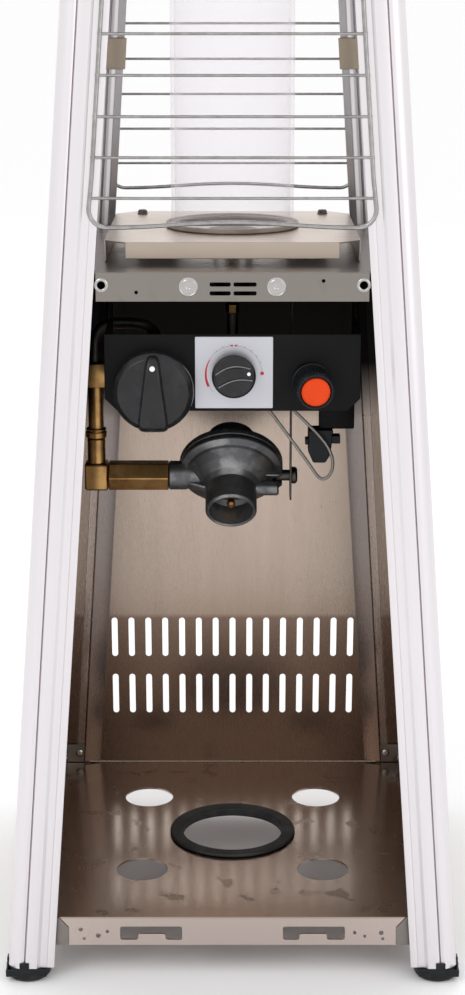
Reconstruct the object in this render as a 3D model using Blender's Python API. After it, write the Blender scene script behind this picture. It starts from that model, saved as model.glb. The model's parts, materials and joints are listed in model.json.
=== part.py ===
"""Small pyramid patio heater with a glass flame tube, modelled piece by piece.

The frame: +Z up, the front is -Y, and the origin is on the floor under the middle of the heater.
Sizes are in millimetres; add_piece turns them into metres.
"""
import math

import bmesh
import bpy
from mathutils import Matrix, Vector

MM = 0.001

# ---- driving dimensions, millimetres --------------------------------------------------------
GAP = 0.3               # clearance between neighbouring pieces
SHEET = 1.5             # thickness of the steel sheets
THIN_SHEET = 1.2        # thickness of the deck and of the control box

BASE_HALF = 155.0       # half width over the posts, at the floor
TOP_HALF = 91.2         # half width over the posts, at their upper ends
FOOT_HEIGHT = 9.5       # height of a foot cap under its post
POST_TOP = 900.0        # upper end of the posts
POST_LEG = 31.0         # width of one leg of a post
POST_WALL = 1.3         # wall of a post
POST_CORNER = 9.0       # radius of the bead down the corner of a post
FLANGE_STEP = 2.2       # how far a post's flange lies behind its band

BASE_TOP = 42.3         # upper face of the base plate
BASE_INSET = 10.0       # from the posts' outer faces in to the base plate's edge
BASE_LIP = 21.3         # depth of the base plate's folded edge
BASE_HOLE = 41.0        # radius of the hole for the gas cylinder
EDGING_OUTER = 47.7     # rubber edging round that hole
EDGING_INNER = 37.2
VENT_RADIUS = 18.7      # four round vents in the base plate
VENT_OFFSET = 65.8
HOOK_SLOT = (35.0, 78.0, 25.0, 35.0)        # near and far x, low and high z of a slot in the lip
HOOK_TAB = (46.5, 65.5, 29.4)               # near and far x and height of the tab in it

PANEL_INSET = 12.0      # from the posts' outer faces in to the outer face of a panel
SLOT_PITCH = 13.6
SLOT_COUNT = 15
SLOT_WIDTH = 4.8
SLOT_ROWS = ((86.4, 121.0), (136.5, 170.3))

MID_TOP = 487.5         # upper face of the plate that carries the burner
MID_INSET = 1.4         # from the posts' outer faces in to its folded edges
MID_LIP = 19.0
DECK_TOP = 502.5        # upper face of the burner deck
DECK_HALF = 85.7
DECK_CORNER = 14.0      # cut corners of the deck
DECK_FOLD = 11.0
DECK_LEDGE = 1.4        # how far the deck reaches in under the glass tube

TUBE_RADIUS = 43.0      # glass flame tube
TUBE_WALL = 2.5
BURNER_RADIUS = 24.0
MIXING_RADIUS = 12.0

WIRE = 2.6              # wire of the guard grilles
GRILLE_BOTTOM = 515.0
GRILLE_FIRST = 535.0    # height of the lowest cross wire
GRILLE_PITCH = 25.7
GRILLE_SIDE = 24.5      # from the posts' outer faces in to a grille's side wire
GRILLE_CORNER = 13.0

TOP_LIP = 14.0          # folded edge of the top plate
FLUE_LEDGE = 3.0        # how far the top plate reaches in over the glass tube
SCREEN_LEDGE = 21.0     # how far the flame screen reaches out past the flue
SCREEN_HEIGHT = 44.0
HOOD_HALF = 150.0       # reflector hood
HOOD_FLAT = 55.0        # half width of its flat middle
HOOD_RISE = 38.0
HOOD_LIP = 9.0
HOOD_ABOVE_POSTS = 103.0                    # from the posts up to the top of the cap nut

BOX_TOP = 444.4         # control box
BOX_BOTTOM = 392.8
BOX_FRONT = -105.0
BOX_BACK = -15.0
BOX_CORNER = 8.0
BOX_TAB = 25.0          # depth of the straps that hang it from the plate above
DIAL_LOW, DIAL_HIGH = BOX_BOTTOM + 2.1, BOX_TOP - 1.4
DIAL_LEFT, DIAL_RIGHT = -24.8, 26.8
DIAL_THICK = 0.8

CONTROL_X, CONTROL_Z = 0.9, BOX_BOTTOM + 25.7       # axis of the control valve
CONTROL_BACK = -62.0                        # back of the control valve's body
CONTROL_KNOB_RADIUS = 14.5
CONTROL_TRAVEL = 3.0
GAS_X_SHARE = 0.615                         # gas valve's place across half the box
GAS_Z = BOX_BOTTOM + 15.6
GAS_BACK = -66.0
GAS_KNOB_RADIUS = 27.0
STEM_RADIUS = 3.0

IGNITER_FRONT = (54.4, BOX_FRONT - 25.0, BOX_BOTTOM + 17.8)     # centre of the igniter cap's front
IGNITER_DOWN, IGNITER_SIDE = 7.0, 6.0       # degrees its axis leans down and to the right
CAP_RADIUS = 13.25
CAP_LENGTH = 19.5
BARREL_RADIUS = CAP_RADIUS - 2.45
BUTTON_RADIUS = CAP_RADIUS - 3.75
BUTTON_TRAVEL = 4.0

PIVOT_X, PIVOT_Z = -1.0, 322.0              # middle of the regulator, on its swing axis
REST_SWING = -53.5                          # degrees from hanging straight down
RIM_RADIUS = 37.5
RIM_Z = 7.6                                 # from the swing axis up to the shells' joint
SOCKET_RADIUS = 18.4
SOCKET_MOUTH = 34.0
SOCKET_BORE = 12.9                          # clears a 1 inch cylinder thread
LUG_RADIUS = 10.5
LUG_LEFT, LUG_RIGHT = -RIM_RADIUS - 7.5, RIM_RADIUS - 0.5       # ends of its lugs, from its middle
SPIGOT_RADIUS = 5.0                         # the pipe end that the regulator swings on
PIVOT_RADIUS = 4.0

BAR_ACROSS = 19.5                           # brass inlet bar, across its flats
ELBOW_HALF = 8.5
RISER_MARGIN = 14.6                         # from the side panel to the riser's axis
RISER_RADIUS = 5.5
RISER_TOP = 405.5
BOX_TO_RISER = 13.2
STRAP_X = PIVOT_X + LUG_RIGHT + 6.0
STRAP_HALF = 10.0
STRAP_BOTTOM = 305.0
SWITCH = (52.4, 69.9, -60.0, -45.0, BOX_BOTTOM - 46.8, BOX_BOTTOM - 23.5)     # x, y and z from and to
SWITCH_BRACKET = (59.9, 84.1, -58.0, -46.0, SWITCH[5] + GAP, BOX_BOTTOM - GAP)

FRONT, RIGHT, REAR, LEFT = 0, 1, 2, 3


def half_width(z):
    """Half the width over the posts at height z: the sides lean in evenly."""
    return BASE_HALF - (BASE_HALF - TOP_HALF) * z / POST_TOP


def bay_half(z):
    """Half the clear width between the side panels at height z."""
    return half_width(z) - PANEL_INSET - SHEET


RISER_X = -(bay_half(RISER_TOP) - RISER_MARGIN)
BOX_HALF = -RISER_X - BOX_TO_RISER
GAS_X = -GAS_X_SHARE * BOX_HALF
BASE_PLATE_HALF = half_width(BASE_TOP) - BASE_INSET
TUBE_BOTTOM = DECK_TOP + 2.6
DECK_HOLE = TUBE_RADIUS - DECK_LEDGE
FLUE_RADIUS = TUBE_RADIUS - FLUE_LEDGE
SCREEN_RADIUS = FLUE_RADIUS + SCREEN_LEDGE
TOP_PLATE_LOW = POST_TOP + GAP
GRILLE_TOP = TOP_PLATE_LOW - TOP_LIP - GAP
SCREEN_LOW = TOP_PLATE_LOW + SHEET + GAP
SCREEN_TOP = SCREEN_LOW + SCREEN_HEIGHT
HEIGHT = POST_TOP + HOOD_ABOVE_POSTS
HOOD_TOP = HEIGHT - 3.4
PANEL_TOP = MID_TOP - SHEET - GAP
VALVE_FRONT = BOX_FRONT + THIN_SHEET + GAP

# ---- finishes: colour, roughness, metallic --------------------------------------------------
FINISHES = {
    "aluminium": ((0.86, 0.85, 0.87), 0.32, 1.0),
    "stainless": ((0.60, 0.53, 0.47), 0.22, 1.0),
    "brushed_sheet": ((0.66, 0.62, 0.59), 0.35, 1.0),
    "black_paint": ((0.02, 0.02, 0.022), 0.55, 0.0),
    "black_plastic": ((0.015, 0.015, 0.017), 0.35, 0.0),
    "knob_plastic": ((0.012, 0.014, 0.017), 0.18, 0.0),
    "dial_silver": ((0.80, 0.81, 0.84), 0.30, 0.6),
    "orange_plastic": ((0.85, 0.09, 0.02), 0.40, 0.0),
    "zinc_casting": ((0.22, 0.22, 0.23), 0.38, 1.0),
    "brass": ((0.62, 0.38, 0.13), 0.28, 1.0),
    "rubber": ((0.02, 0.02, 0.02), 0.75, 0.0),
    "wire_chrome": ((0.72, 0.71, 0.70), 0.15, 1.0),
    "glass": ((0.95, 0.93, 0.96), 0.03, 0.0),
    "ceramic": ((0.85, 0.83, 0.78), 0.50, 0.0),
    "dark_steel": ((0.16, 0.15, 0.14), 0.45, 1.0),
}


def material(finish):
    found = bpy.data.materials.get(finish)
    if found:
        return found
    colour, roughness, metallic = FINISHES[finish]
    made = bpy.data.materials.new(finish)
    made.use_nodes = True
    shader = made.node_tree.nodes["Principled BSDF"]
    shader.inputs["Base Color"].default_value = (*colour, 1.0)
    shader.inputs["Roughness"].default_value = roughness
    shader.inputs["Metallic"].default_value = metallic
    if finish == "glass":
        shader.inputs["Transmission Weight"].default_value = 1.0
    return made


# ---- making meshes ---------------------------------------------------------------------------
def add_piece(name, bm, finish, parent=None, smooth=True):
    """Make one object of a mesh drawn in millimetres."""
    bmesh.ops.scale(bm, vec=(MM, MM, MM), verts=bm.verts)
    mesh = bpy.data.meshes.new(name)
    bm.to_mesh(mesh)
    bm.free()
    mesh.materials.append(material(finish))
    if smooth:
        mesh.shade_smooth()
        mesh.set_sharp_from_angle(angle=math.radians(35))
    piece = bpy.data.objects.new(name, mesh)
    bpy.context.scene.collection.objects.link(piece)
    piece.parent = parent
    return piece


def axis_empty(name, place, turn):
    """An empty on a joint's axis, which its pieces hang from."""
    empty = bpy.data.objects.new(name, None)
    empty.matrix_world = Matrix.Translation(Vector(place) * MM) @ turn.to_4x4()
    bpy.context.scene.collection.objects.link(empty)
    return empty


def circle(x, y, radius, steps):
    turns = [2 * math.pi * i / steps for i in range(steps)]
    return [(x + radius * math.cos(t), y + radius * math.sin(t)) for t in turns]


def arc(x, y, radius, start, end, steps):
    turns = [math.radians(start + (end - start) * i / steps) for i in range(steps + 1)]
    return [(x + radius * math.cos(t), y + radius * math.sin(t)) for t in turns]


def rectangle(left, right, low, high):
    return [(left, low), (right, low), (right, high), (left, high)]


def filled(outline, holes):
    """Triangulate a flat outline with holes: its points, triangles and loops of points."""
    flat = bmesh.new()
    loops = []
    for loop in (outline, *holes):
        verts = [flat.verts.new((a, b, 0)) for a, b in loop]
        for start, end in zip(verts, verts[1:] + verts[:1]):
            flat.edges.new((start, end))
        loops.append(verts)
    bmesh.ops.triangle_fill(flat, use_beauty=True, edges=flat.edges[:])
    flat.verts.index_update()
    points = [(v.co.x, v.co.y) for v in flat.verts]
    triangles = [[v.index for v in face.verts] for face in flat.faces]
    rings = [[v.index for v in loop] for loop in loops]
    flat.free()
    return points, triangles, rings


def prism(name, outline, holes, place, depths, finish, parent=None):
    """A solid between two copies of a flat shape; place(a, b, depth) gives its points."""
    points, triangles, rings = filled(outline, holes)
    bm = bmesh.new()
    near, far = [[bm.verts.new(place(a, b, depth)) for a, b in points] for depth in depths]
    for corners in triangles:
        bm.faces.new([near[i] for i in corners])
        bm.faces.new([far[i] for i in reversed(corners)])
    for ring in rings:
        for start, end in zip(ring, ring[1:] + ring[:1]):
            bm.faces.new((near[start], near[end], far[end], far[start]))
    bmesh.ops.recalc_face_normals(bm, faces=bm.faces)
    return add_piece(name, bm, finish, parent)


def folded(name, flats, thickness, finish):
    """A folded sheet. Each flat is (outline, holes, place(a, b)) on the sheet's middle surface."""
    bm = bmesh.new()
    for outline, holes, place in flats:
        points, triangles, _ = filled(outline, holes)
        verts = [bm.verts.new(place(a, b)) for a, b in points]
        for corners in triangles:
            bm.faces.new([verts[i] for i in corners])
    bmesh.ops.remove_doubles(bm, verts=bm.verts, dist=0.01)
    bmesh.ops.recalc_face_normals(bm, faces=bm.faces)
    sheet = add_piece(name, bm, finish, smooth=False)
    wall = sheet.modifiers.new("sheet thickness", "SOLIDIFY")
    wall.thickness = thickness * MM
    wall.offset = 0.0
    wall.use_even_offset = True
    return sheet


def turned(name, profile, steps, finish, parent=None, ring=False, turn=None):
    """A profile of (radius, z) points spun about Z. A ring's profile is a closed loop."""
    bm = bmesh.new()
    verts = [bm.verts.new((radius, 0, z)) for radius, z in profile]
    edges = [bm.edges.new(pair) for pair in zip(verts, verts[1:])]
    if ring:
        edges.append(bm.edges.new((verts[-1], verts[0])))
    bmesh.ops.spin(bm, geom=verts + edges, cent=(0, 0, 0), axis=(0, 0, 1),
                   angle=2 * math.pi, steps=steps, use_merge=True)
    bmesh.ops.remove_doubles(bm, verts=bm.verts, dist=0.001)
    bmesh.ops.recalc_face_normals(bm, faces=bm.faces)
    if turn:
        bmesh.ops.transform(bm, matrix=turn, verts=bm.verts)
    return add_piece(name, bm, finish, parent)


def block(name, low, high, finish, bevel=0.0, parent=None):
    """A box from its lowest to its highest corner, with its edges eased."""
    bm = bmesh.new()
    bmesh.ops.create_cube(bm, size=1)
    size = Vector(high) - Vector(low)
    bmesh.ops.scale(bm, vec=size, verts=bm.verts)
    bmesh.ops.translate(bm, vec=Vector(low) + size / 2, verts=bm.verts)
    piece = add_piece(name, bm, finish, parent, smooth=False)
    if bevel:
        ease = piece.modifiers.new("eased edges", "BEVEL")
        ease.width = bevel * MM
        ease.segments = 2
    return piece


def pipe(name, points, radius, finish, sides=1, smoothness=4):
    """A bent pipe: a smooth curve guided by its points, with closed ends."""
    curve = bpy.data.curves.new(name, "CURVE")
    curve.dimensions = "3D"
    spline = curve.splines.new("NURBS")
    spline.points.add(len(points) - 1)
    for point, place in zip(spline.points, points):
        point.co = (*(Vector(place) * MM), 1.0)
    spline.order_u = 4
    spline.use_endpoint_u = True
    spline.resolution_u = smoothness
    curve.render_resolution_u = 0
    curve.bevel_depth = radius * MM
    curve.bevel_resolution = sides
    curve.use_fill_caps = True
    curve.materials.append(material(finish))
    piece = bpy.data.objects.new(name, curve)
    bpy.context.scene.collection.objects.link(piece)
    return piece


def combine(piece, tool, operation):
    """Cut a tool out of a piece, or join it on; the tool stays as a hidden guide."""
    tool.hide_render = True
    tool.display_type = "WIRE"
    step = piece.modifiers.new(operation.lower() + " " + tool.name, "BOOLEAN")
    step.operation = operation
    step.object = tool
    step.solver = "EXACT"


def along_x(x=0.0, y=0.0, z=0.0):
    """Turns a piece spun about Z so that its +Z points along +X, and moves it."""
    return Matrix.Translation((x, y, z)) @ Matrix.Rotation(math.radians(90), 4, "Y")


def side_turn(side):
    """Turns the front side to another side of the heater."""
    return Matrix.Rotation(math.radians(90 * side), 3, "Z")


def on_side(side, inset):
    """Places (a, z, depth) on a leaning side: a along it, depth inward from the inset plane."""
    turn = side_turn(side)

    def place(a, z, depth=0.0):
        return turn @ Vector((a, -(half_width(z) - inset - depth), z))
    return place


def upright(side, distance):
    """Places (a, z) on an upright plane at a distance from the heater's axis."""
    turn = side_turn(side)
    return lambda a, z: turn @ Vector((a, -distance, z))


def level(z):
    return lambda x, y: (x, y, z)


def in_corner(sx, sy):
    """Places insets (a, b) from the two outer faces of a corner, at height z."""
    return lambda a, b, z: (sx * (half_width(z) - a), sy * (half_width(z) - b), z)


CORNERS = {"front_left": (-1, -1), "front_right": (1, -1), "rear_left": (-1, 1), "rear_right": (1, 1)}


# ---- frame: posts, feet, base plate ------------------------------------------------------------
def offset_path(path, distance):
    """The path moved sideways by a distance, with its corners kept sharp."""
    moved = []
    normals = []
    for (x0, y0), (x1, y1) in zip(path, path[1:]):
        length = math.hypot(x1 - x0, y1 - y0)
        normals.append(Vector((-(y1 - y0) / length, (x1 - x0) / length)))
    for i, point in enumerate(path):
        before = normals[max(i - 1, 0)]
        after = normals[min(i, len(normals) - 1)]
        shift = (before + after) * distance / (1 + before.dot(after))
        moved.append((point[0] + shift.x, point[1] + shift.y))
    return moved


def post_outline():
    """Corner bead, groove, band and stepped flange, the same on both faces."""
    groove = (POST_CORNER + 0.4, POST_CORNER + 2.0)
    face = [(POST_LEG, FLANGE_STEP), (20.7, FLANGE_STEP), (18.7, 0.0), (groove[1] + 0.5, 0.0),
            (groove[1], 1.6), (groove[0], 1.6)]
    bead = arc(POST_CORNER, POST_CORNER, POST_CORNER, -90, -180, 6)
    outer = face + bead + [(b, a) for a, b in reversed(face)]
    return outer + list(reversed(offset_path(outer, -POST_WALL)))


def make_posts():
    for corner, (sx, sy) in CORNERS.items():
        prism("post_" + corner, post_outline(), [], in_corner(sx, sy),
              (FOOT_HEIGHT + GAP, POST_TOP), "aluminium")


def make_foot_caps():
    centre, radius = 13.0, 15.5
    profile = [(0, 0), (radius - 2, 0), (radius, 2), (radius, FOOT_HEIGHT - 2),
               (radius - 1.5, FOOT_HEIGHT), (6.5, FOOT_HEIGHT), (5.5, FOOT_HEIGHT + 9),
               (0, FOOT_HEIGHT + 9)]
    for corner, (sx, sy) in CORNERS.items():
        spot = Matrix.Translation((sx * (BASE_HALF - centre), sy * (BASE_HALF - centre), 0))
        turned("foot_cap_" + corner, profile, 20, "black_plastic", turn=spot)


def hook_slot(sign):
    """A slot in the front lip with a tab standing up in it."""
    near, far, low, high = HOOK_SLOT
    tab_near, tab_far, tab_top = HOOK_TAB
    shape = [(near, low), (tab_near, low), (tab_near, tab_top), (tab_far, tab_top),
             (tab_far, low), (far, low), (far, high), (near, high)]
    return [(sign * x, z) for x, z in shape]


def make_base_plate():
    half = BASE_PLATE_HALF - SHEET / 2
    top = BASE_TOP - SHEET / 2
    vents = [circle(x, y, VENT_RADIUS, 20) for x in (-VENT_OFFSET, VENT_OFFSET)
             for y in (-VENT_OFFSET, VENT_OFFSET)]
    holes = [circle(0, 0, BASE_HOLE, 28)] + vents
    flats = [(rectangle(-half, half, -half, half), holes, level(top))]
    lip = rectangle(-half, half, BASE_TOP - BASE_LIP, top)
    for side in (FRONT, RIGHT, REAR, LEFT):
        slots = [hook_slot(-1), hook_slot(1)] if side == FRONT else []
        flats.append((lip, slots, upright(side, half)))
    folded("base_plate", flats, SHEET, "stainless")


def make_base_hole_edging():
    low = BASE_TOP - SHEET - GAP
    high = BASE_TOP + GAP
    throat = BASE_HOLE - GAP
    turned("base_hole_edging",
           [(EDGING_INNER, low - 1.5), (EDGING_INNER + 1.5, low - 2.5), (EDGING_OUTER, low - 2),
            (EDGING_OUTER, low), (throat, low), (throat, high), (EDGING_OUTER, high),
            (EDGING_OUTER - 1, high + 2.6), (EDGING_INNER + 1.5, high + 2.6),
            (EDGING_INNER, high + 1)], 28, "rubber", ring=True)


def make_base_brackets():
    near = PANEL_INSET + SHEET + GAP
    far = near + SHEET
    leg = near + 20
    angle = [(near, near), (leg, near), (leg, far), (far, far), (far, leg), (near, leg)]
    low = BASE_TOP - BASE_LIP + 0.7
    inner, outer = BASE_PLATE_HALF - 28.5, BASE_PLATE_HALF - 3
    gusset = [(inner, low), (outer, low), (outer, BASE_TOP), (inner + 7, BASE_TOP),
              (inner, BASE_TOP - 8)]
    for corner, (sx, sy) in CORNERS.items():
        name = "base_bracket_" + corner
        if sy > 0:
            prism(name, angle, [], in_corner(sx, sy),
                  (BASE_TOP + GAP, BASE_TOP + 16), "brushed_sheet")
        else:
            prism(name, gusset, [], lambda x, z, y, sx=sx: (sx * x, -y, z),
                  (BASE_PLATE_HALF + GAP, BASE_PLATE_HALF + GAP + THIN_SHEET), "brushed_sheet")


def make_panels():
    """Rear and side panels, each with two rows of vent slots."""
    low, high = BASE_TOP + GAP, PANEL_TOP
    slots = []
    for bottom, top in SLOT_ROWS:
        for i in range(SLOT_COUNT):
            middle = (i - (SLOT_COUNT - 1) / 2) * SLOT_PITCH
            slots.append(rectangle(middle - SLOT_WIDTH / 2, middle + SLOT_WIDTH / 2, bottom, top))

    def edge(z, inset):
        return half_width(z) - inset
    rear_inset = PANEL_INSET
    side_rear_inset = PANEL_INSET + SHEET + GAP
    side_front_inset = 8.0
    depths = (0.0, SHEET)
    rear = [(-edge(low, rear_inset), low), (edge(low, rear_inset), low),
            (edge(high, rear_inset), high), (-edge(high, rear_inset), high)]
    prism("rear_panel", rear, slots, on_side(REAR, PANEL_INSET), depths, "stainless")
    for name, side, front_sign in (("left_panel", LEFT, 1), ("right_panel", RIGHT, -1)):
        right_inset = side_front_inset if front_sign > 0 else side_rear_inset
        left_inset = side_rear_inset if front_sign > 0 else side_front_inset
        outline = [(-edge(low, left_inset), low), (edge(low, right_inset), low),
                   (edge(high, right_inset), high), (-edge(high, left_inset), high)]
        prism(name, outline, slots, on_side(side, PANEL_INSET), depths, "stainless")


# ---- burner level ------------------------------------------------------------------------------
def make_mid_plate():
    """The plate between the posts, with a folded edge between each two posts."""
    top = MID_TOP - SHEET / 2
    reach = half_width(MID_TOP) - MID_INSET - SHEET / 2
    tab = half_width(MID_TOP) - POST_LEG - 2 * GAP
    inner = reach - 4.5
    corner = inner - 10
    quarter = [(-tab, -inner), (-tab, -reach), (tab, -reach), (tab, -inner), (corner, -inner)]
    outline = []
    for side in (FRONT, RIGHT, REAR, LEFT):
        turn = side_turn(side)
        outline += [(turn @ Vector((x, y, 0)))[:2] for x, y in quarter]
        outline.append((turn @ Vector((inner, -corner, 0)))[:2])
    flats = [(outline, [circle(0, 0, MIXING_RADIUS + 2 * GAP, 20)], level(top))]
    for side in (FRONT, RIGHT, REAR, LEFT):
        flats.append((rectangle(-tab, tab, MID_TOP - MID_LIP, top), [], upright(side, reach)))
    folded("mid_plate", flats, SHEET, "brushed_sheet")


def make_burner_deck():
    half = DECK_HALF - THIN_SHEET / 2
    top = DECK_TOP - THIN_SHEET / 2
    run = half - DECK_CORNER
    outline = [(-run, -half), (run, -half), (half, -run), (half, run),
               (run, half), (-run, half), (-half, run), (-half, -run)]
    flats = [(outline, [circle(0, 0, DECK_HOLE, 32)], level(top))]
    for side in (FRONT, RIGHT, REAR, LEFT):
        standing = side in (RIGHT, LEFT)
        low = MID_TOP + GAP if standing else DECK_TOP - DECK_FOLD
        flats.append((rectangle(-run, run, low, top), [], upright(side, half)))
    folded("burner_deck", flats, THIN_SHEET, "brushed_sheet")


def make_burner():
    low = MID_TOP + GAP
    high = DECK_TOP - 2
    r = BURNER_RADIUS
    collar = MIXING_RADIUS + GAP
    turned("burner_cup",
           [(0, high), (r - 7, high), (r - 1, high - 3), (r, high - 6), (r, low + 2.2), (r + 3, low + 1.2),
            (r + 3, low), (collar, low), (collar, low + 1.2), (r - 1.2, low + 1.2),
            (r - 1.2, high - 6), (r - 7.4, high - 1.2), (0, high - 1.2)], 20, "dark_steel")
    outer, inner = MIXING_RADIUS, MIXING_RADIUS - 1.3
    low, high = 452.0, MID_TOP + 4.5
    turned("mixing_tube", [(outer, low + 6), (outer, high), (inner, high), (inner, low + 6),
                           (inner + 1.2, low), (outer + 1.2, low)], 20, "stainless", ring=True)
    turned("gas_jet", [(0, 441), (5, 441), (5, 447), (3, 449), (2, 454), (0, 454)], 6, "brass")
    back = CONTROL_BACK
    pipe("burner_feed_tube",
         [(CONTROL_X, back + GAP, 417), (CONTROL_X, back + 22, 417), (CONTROL_X, -12, 416),
          (0, 0, 418), (0, 0, 430), (0, 0, 441 - GAP)], 4.0, "brass")


def make_pilot():
    """Pilot burner, thermocouple and spark electrode, standing beside the burner."""
    ring = (BURNER_RADIUS + 3 + TUBE_RADIUS - TUBE_WALL) / 2
    low = MID_TOP + GAP
    pieces = (
        ("pilot_burner", 0.0, [(0, low), (4, low), (4, low + 6), (5, low + 7), (5, low + 12),
                               (3, low + 14.4), (0, low + 14.4)], "brass"),
        ("thermocouple", 20.0, [(0, low), (1.6, low), (1.6, low + 4), (2.6, low + 5),
                                (2.6, low + 12.6), (1.2, low + 14.6), (0, low + 14.6)], "dark_steel"),
        ("spark_electrode", -20.0, [(0, low), (2.8, low), (2.8, low + 7), (0.9, low + 9),
                                    (0.9, low + 14.2), (0, low + 14.2)], "ceramic"))
    for name, turn, profile, finish in pieces:
        x, y = ring * math.sin(math.radians(turn)), -ring * math.cos(math.radians(turn))
        turned(name, profile, 12, finish, turn=Matrix.Translation((x, y, 0)))


def make_flame_tube():
    outer, inner = TUBE_RADIUS, TUBE_RADIUS - TUBE_WALL
    low = DECK_TOP + GAP
    turned("tube_seat_ring",
           [(inner - 0.7, low), (outer + 3.5, low), (outer + 3.5, low + 3.2), (outer + 0.4, low + 3.2),
            (outer + 0.4, TUBE_BOTTOM - GAP), (inner - 0.7, TUBE_BOTTOM - GAP)],
           28, "ceramic", ring=True)
    high = TOP_PLATE_LOW - GAP
    turned("glass_tube", [(outer, TUBE_BOTTOM), (outer, high), (inner, high), (inner, TUBE_BOTTOM)],
           32, "glass", ring=True)


def make_grilles():
    """Four wire guards. Each is a frame with rounded lower corners and level cross wires."""
    r = GRILLE_CORNER
    low, high = GRILLE_BOTTOM, GRILLE_TOP

    def side(z, inset=0.0):
        return half_width(z) - GRILLE_SIDE - inset
    outline = [(-side(high), high)]
    outline += [(x - side(low) + r, z) for x, z in arc(0, low + r, r, 180, 270, 5)]
    outline += [(x + side(low) - r, z) for x, z in arc(0, low + r, r, 270, 360, 5)]
    outline.append((side(high), high))
    count = int((high - 8 - GRILLE_FIRST) / GRILLE_PITCH) + 1
    wires = [GRILLE_FIRST + i * GRILLE_PITCH for i in range(count)] + [high - WIRE / 2]
    holes = []
    inner = r - WIRE
    foot = low + WIRE
    lowest = [(-side(wires[0], WIRE), wires[0] - WIRE / 2)]
    lowest += [(x - side(low) + r, z) for x, z in arc(0, foot + inner, inner, 180, 270, 4)]
    lowest += [(x + side(low) - r, z) for x, z in arc(0, foot + inner, inner, 270, 360, 4)]
    lowest.append((side(wires[0], WIRE), wires[0] - WIRE / 2))
    holes.append(lowest)
    for below, above in zip(wires, wires[1:]):
        z0, z1 = below + WIRE / 2, above - WIRE / 2
        holes.append([(-side(z0, WIRE), z0), (side(z0, WIRE), z0), (side(z1, WIRE), z1),
                      (-side(z1, WIRE), z1)])
    for name, number in (("front", FRONT), ("right", RIGHT), ("rear", REAR), ("left", LEFT)):
        prism(name + "_grille", outline, holes, on_side(number, FLANGE_STEP - GAP - WIRE), (0.0, WIRE),
              "wire_chrome")


# ---- top: plate, flame screen, hood ----------------------------------------------------------
def make_top():
    mid = TOP_PLATE_LOW + SHEET / 2
    half = half_width(TOP_PLATE_LOW - TOP_LIP) + 2 * GAP + SHEET / 2
    flats = [(rectangle(-half, half, -half, half), [circle(0, 0, FLUE_RADIUS, 28)], level(mid))]
    for side in (FRONT, RIGHT, REAR, LEFT):
        flats.append((rectangle(-half, half, TOP_PLATE_LOW - TOP_LIP, mid), [], upright(side, half)))
    folded("top_plate", flats, SHEET, "stainless")
    r = SCREEN_RADIUS
    low, high = SCREEN_LOW, SCREEN_TOP
    screen = turned("flame_screen",
                    [(0, high), (r - 10, high), (r - 8, high - 2), (r, low), (r - 1, low),
                     (r - 9, high - 2.4), (r - 10.4, high - 1), (0, high - 1)], 32, "stainless")
    combine(screen, screen_slots(), "DIFFERENCE")
    rod = 4.0
    flat = HOOD_TOP - THIN_SHEET - GAP
    turned("hood_stud",
           [(0, SCREEN_TOP + GAP), (22, SCREEN_TOP + GAP), (22, SCREEN_TOP + 2), (rod, SCREEN_TOP + 3),
            (rod, flat - 3), (10, flat - 2), (10, flat), (rod, flat), (rod, HOOD_TOP + GAP),
            (8, HOOD_TOP + GAP), (8, HEIGHT - 1), (6, HEIGHT), (0, HEIGHT)], 16, "dark_steel")
    make_hood()


def screen_slots():
    """Radial bars that cut the flame screen's upright slots."""
    bm = bmesh.new()
    count, width = 16, 5.0
    for i in range(count):
        turn = Matrix.Rotation(2 * math.pi * (i + 0.5) / count, 4, "Z")
        made = bmesh.ops.create_cube(bm, size=1)["verts"]
        size = Matrix.Diagonal((30.0, width, SCREEN_HEIGHT - 18, 1.0))
        spot = Matrix.Translation((SCREEN_RADIUS - 4, 0, SCREEN_LOW + SCREEN_HEIGHT / 2))
        bmesh.ops.transform(bm, matrix=turn @ spot @ size, verts=made)
    return add_piece("screen_slot_cutter", bm, "stainless", smooth=False)


def make_hood():
    """A low pyramid with a flat middle and a folded rim."""
    top = HOOD_TOP - THIN_SHEET / 2
    eave = top - HOOD_RISE
    half = HOOD_HALF - THIN_SHEET / 2
    flats = [(rectangle(-HOOD_FLAT, HOOD_FLAT, -HOOD_FLAT, HOOD_FLAT),
              [circle(0, 0, 4.0 + GAP, 16)], level(top))]
    for side in (FRONT, RIGHT, REAR, LEFT):
        turn = side_turn(side)

        def slope(a, out, turn=turn):
            share = (out - HOOD_FLAT) / (half - HOOD_FLAT)
            return turn @ Vector((a, -out, top - HOOD_RISE * share))
        flats.append(([(-HOOD_FLAT, HOOD_FLAT), (HOOD_FLAT, HOOD_FLAT), (half, half), (-half, half)],
                      [], slope))
        flats.append((rectangle(-half, half, eave - HOOD_LIP, eave), [], upright(side, half)))
    folded("reflector_hood", flats, THIN_SHEET, "stainless")


# ---- control box -------------------------------------------------------------------------------


def igniter_axis():
    down, side = math.radians(IGNITER_DOWN), math.radians(IGNITER_SIDE)
    return Vector((math.sin(side) * math.cos(down), -math.cos(side) * math.cos(down), -math.sin(down)))


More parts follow.
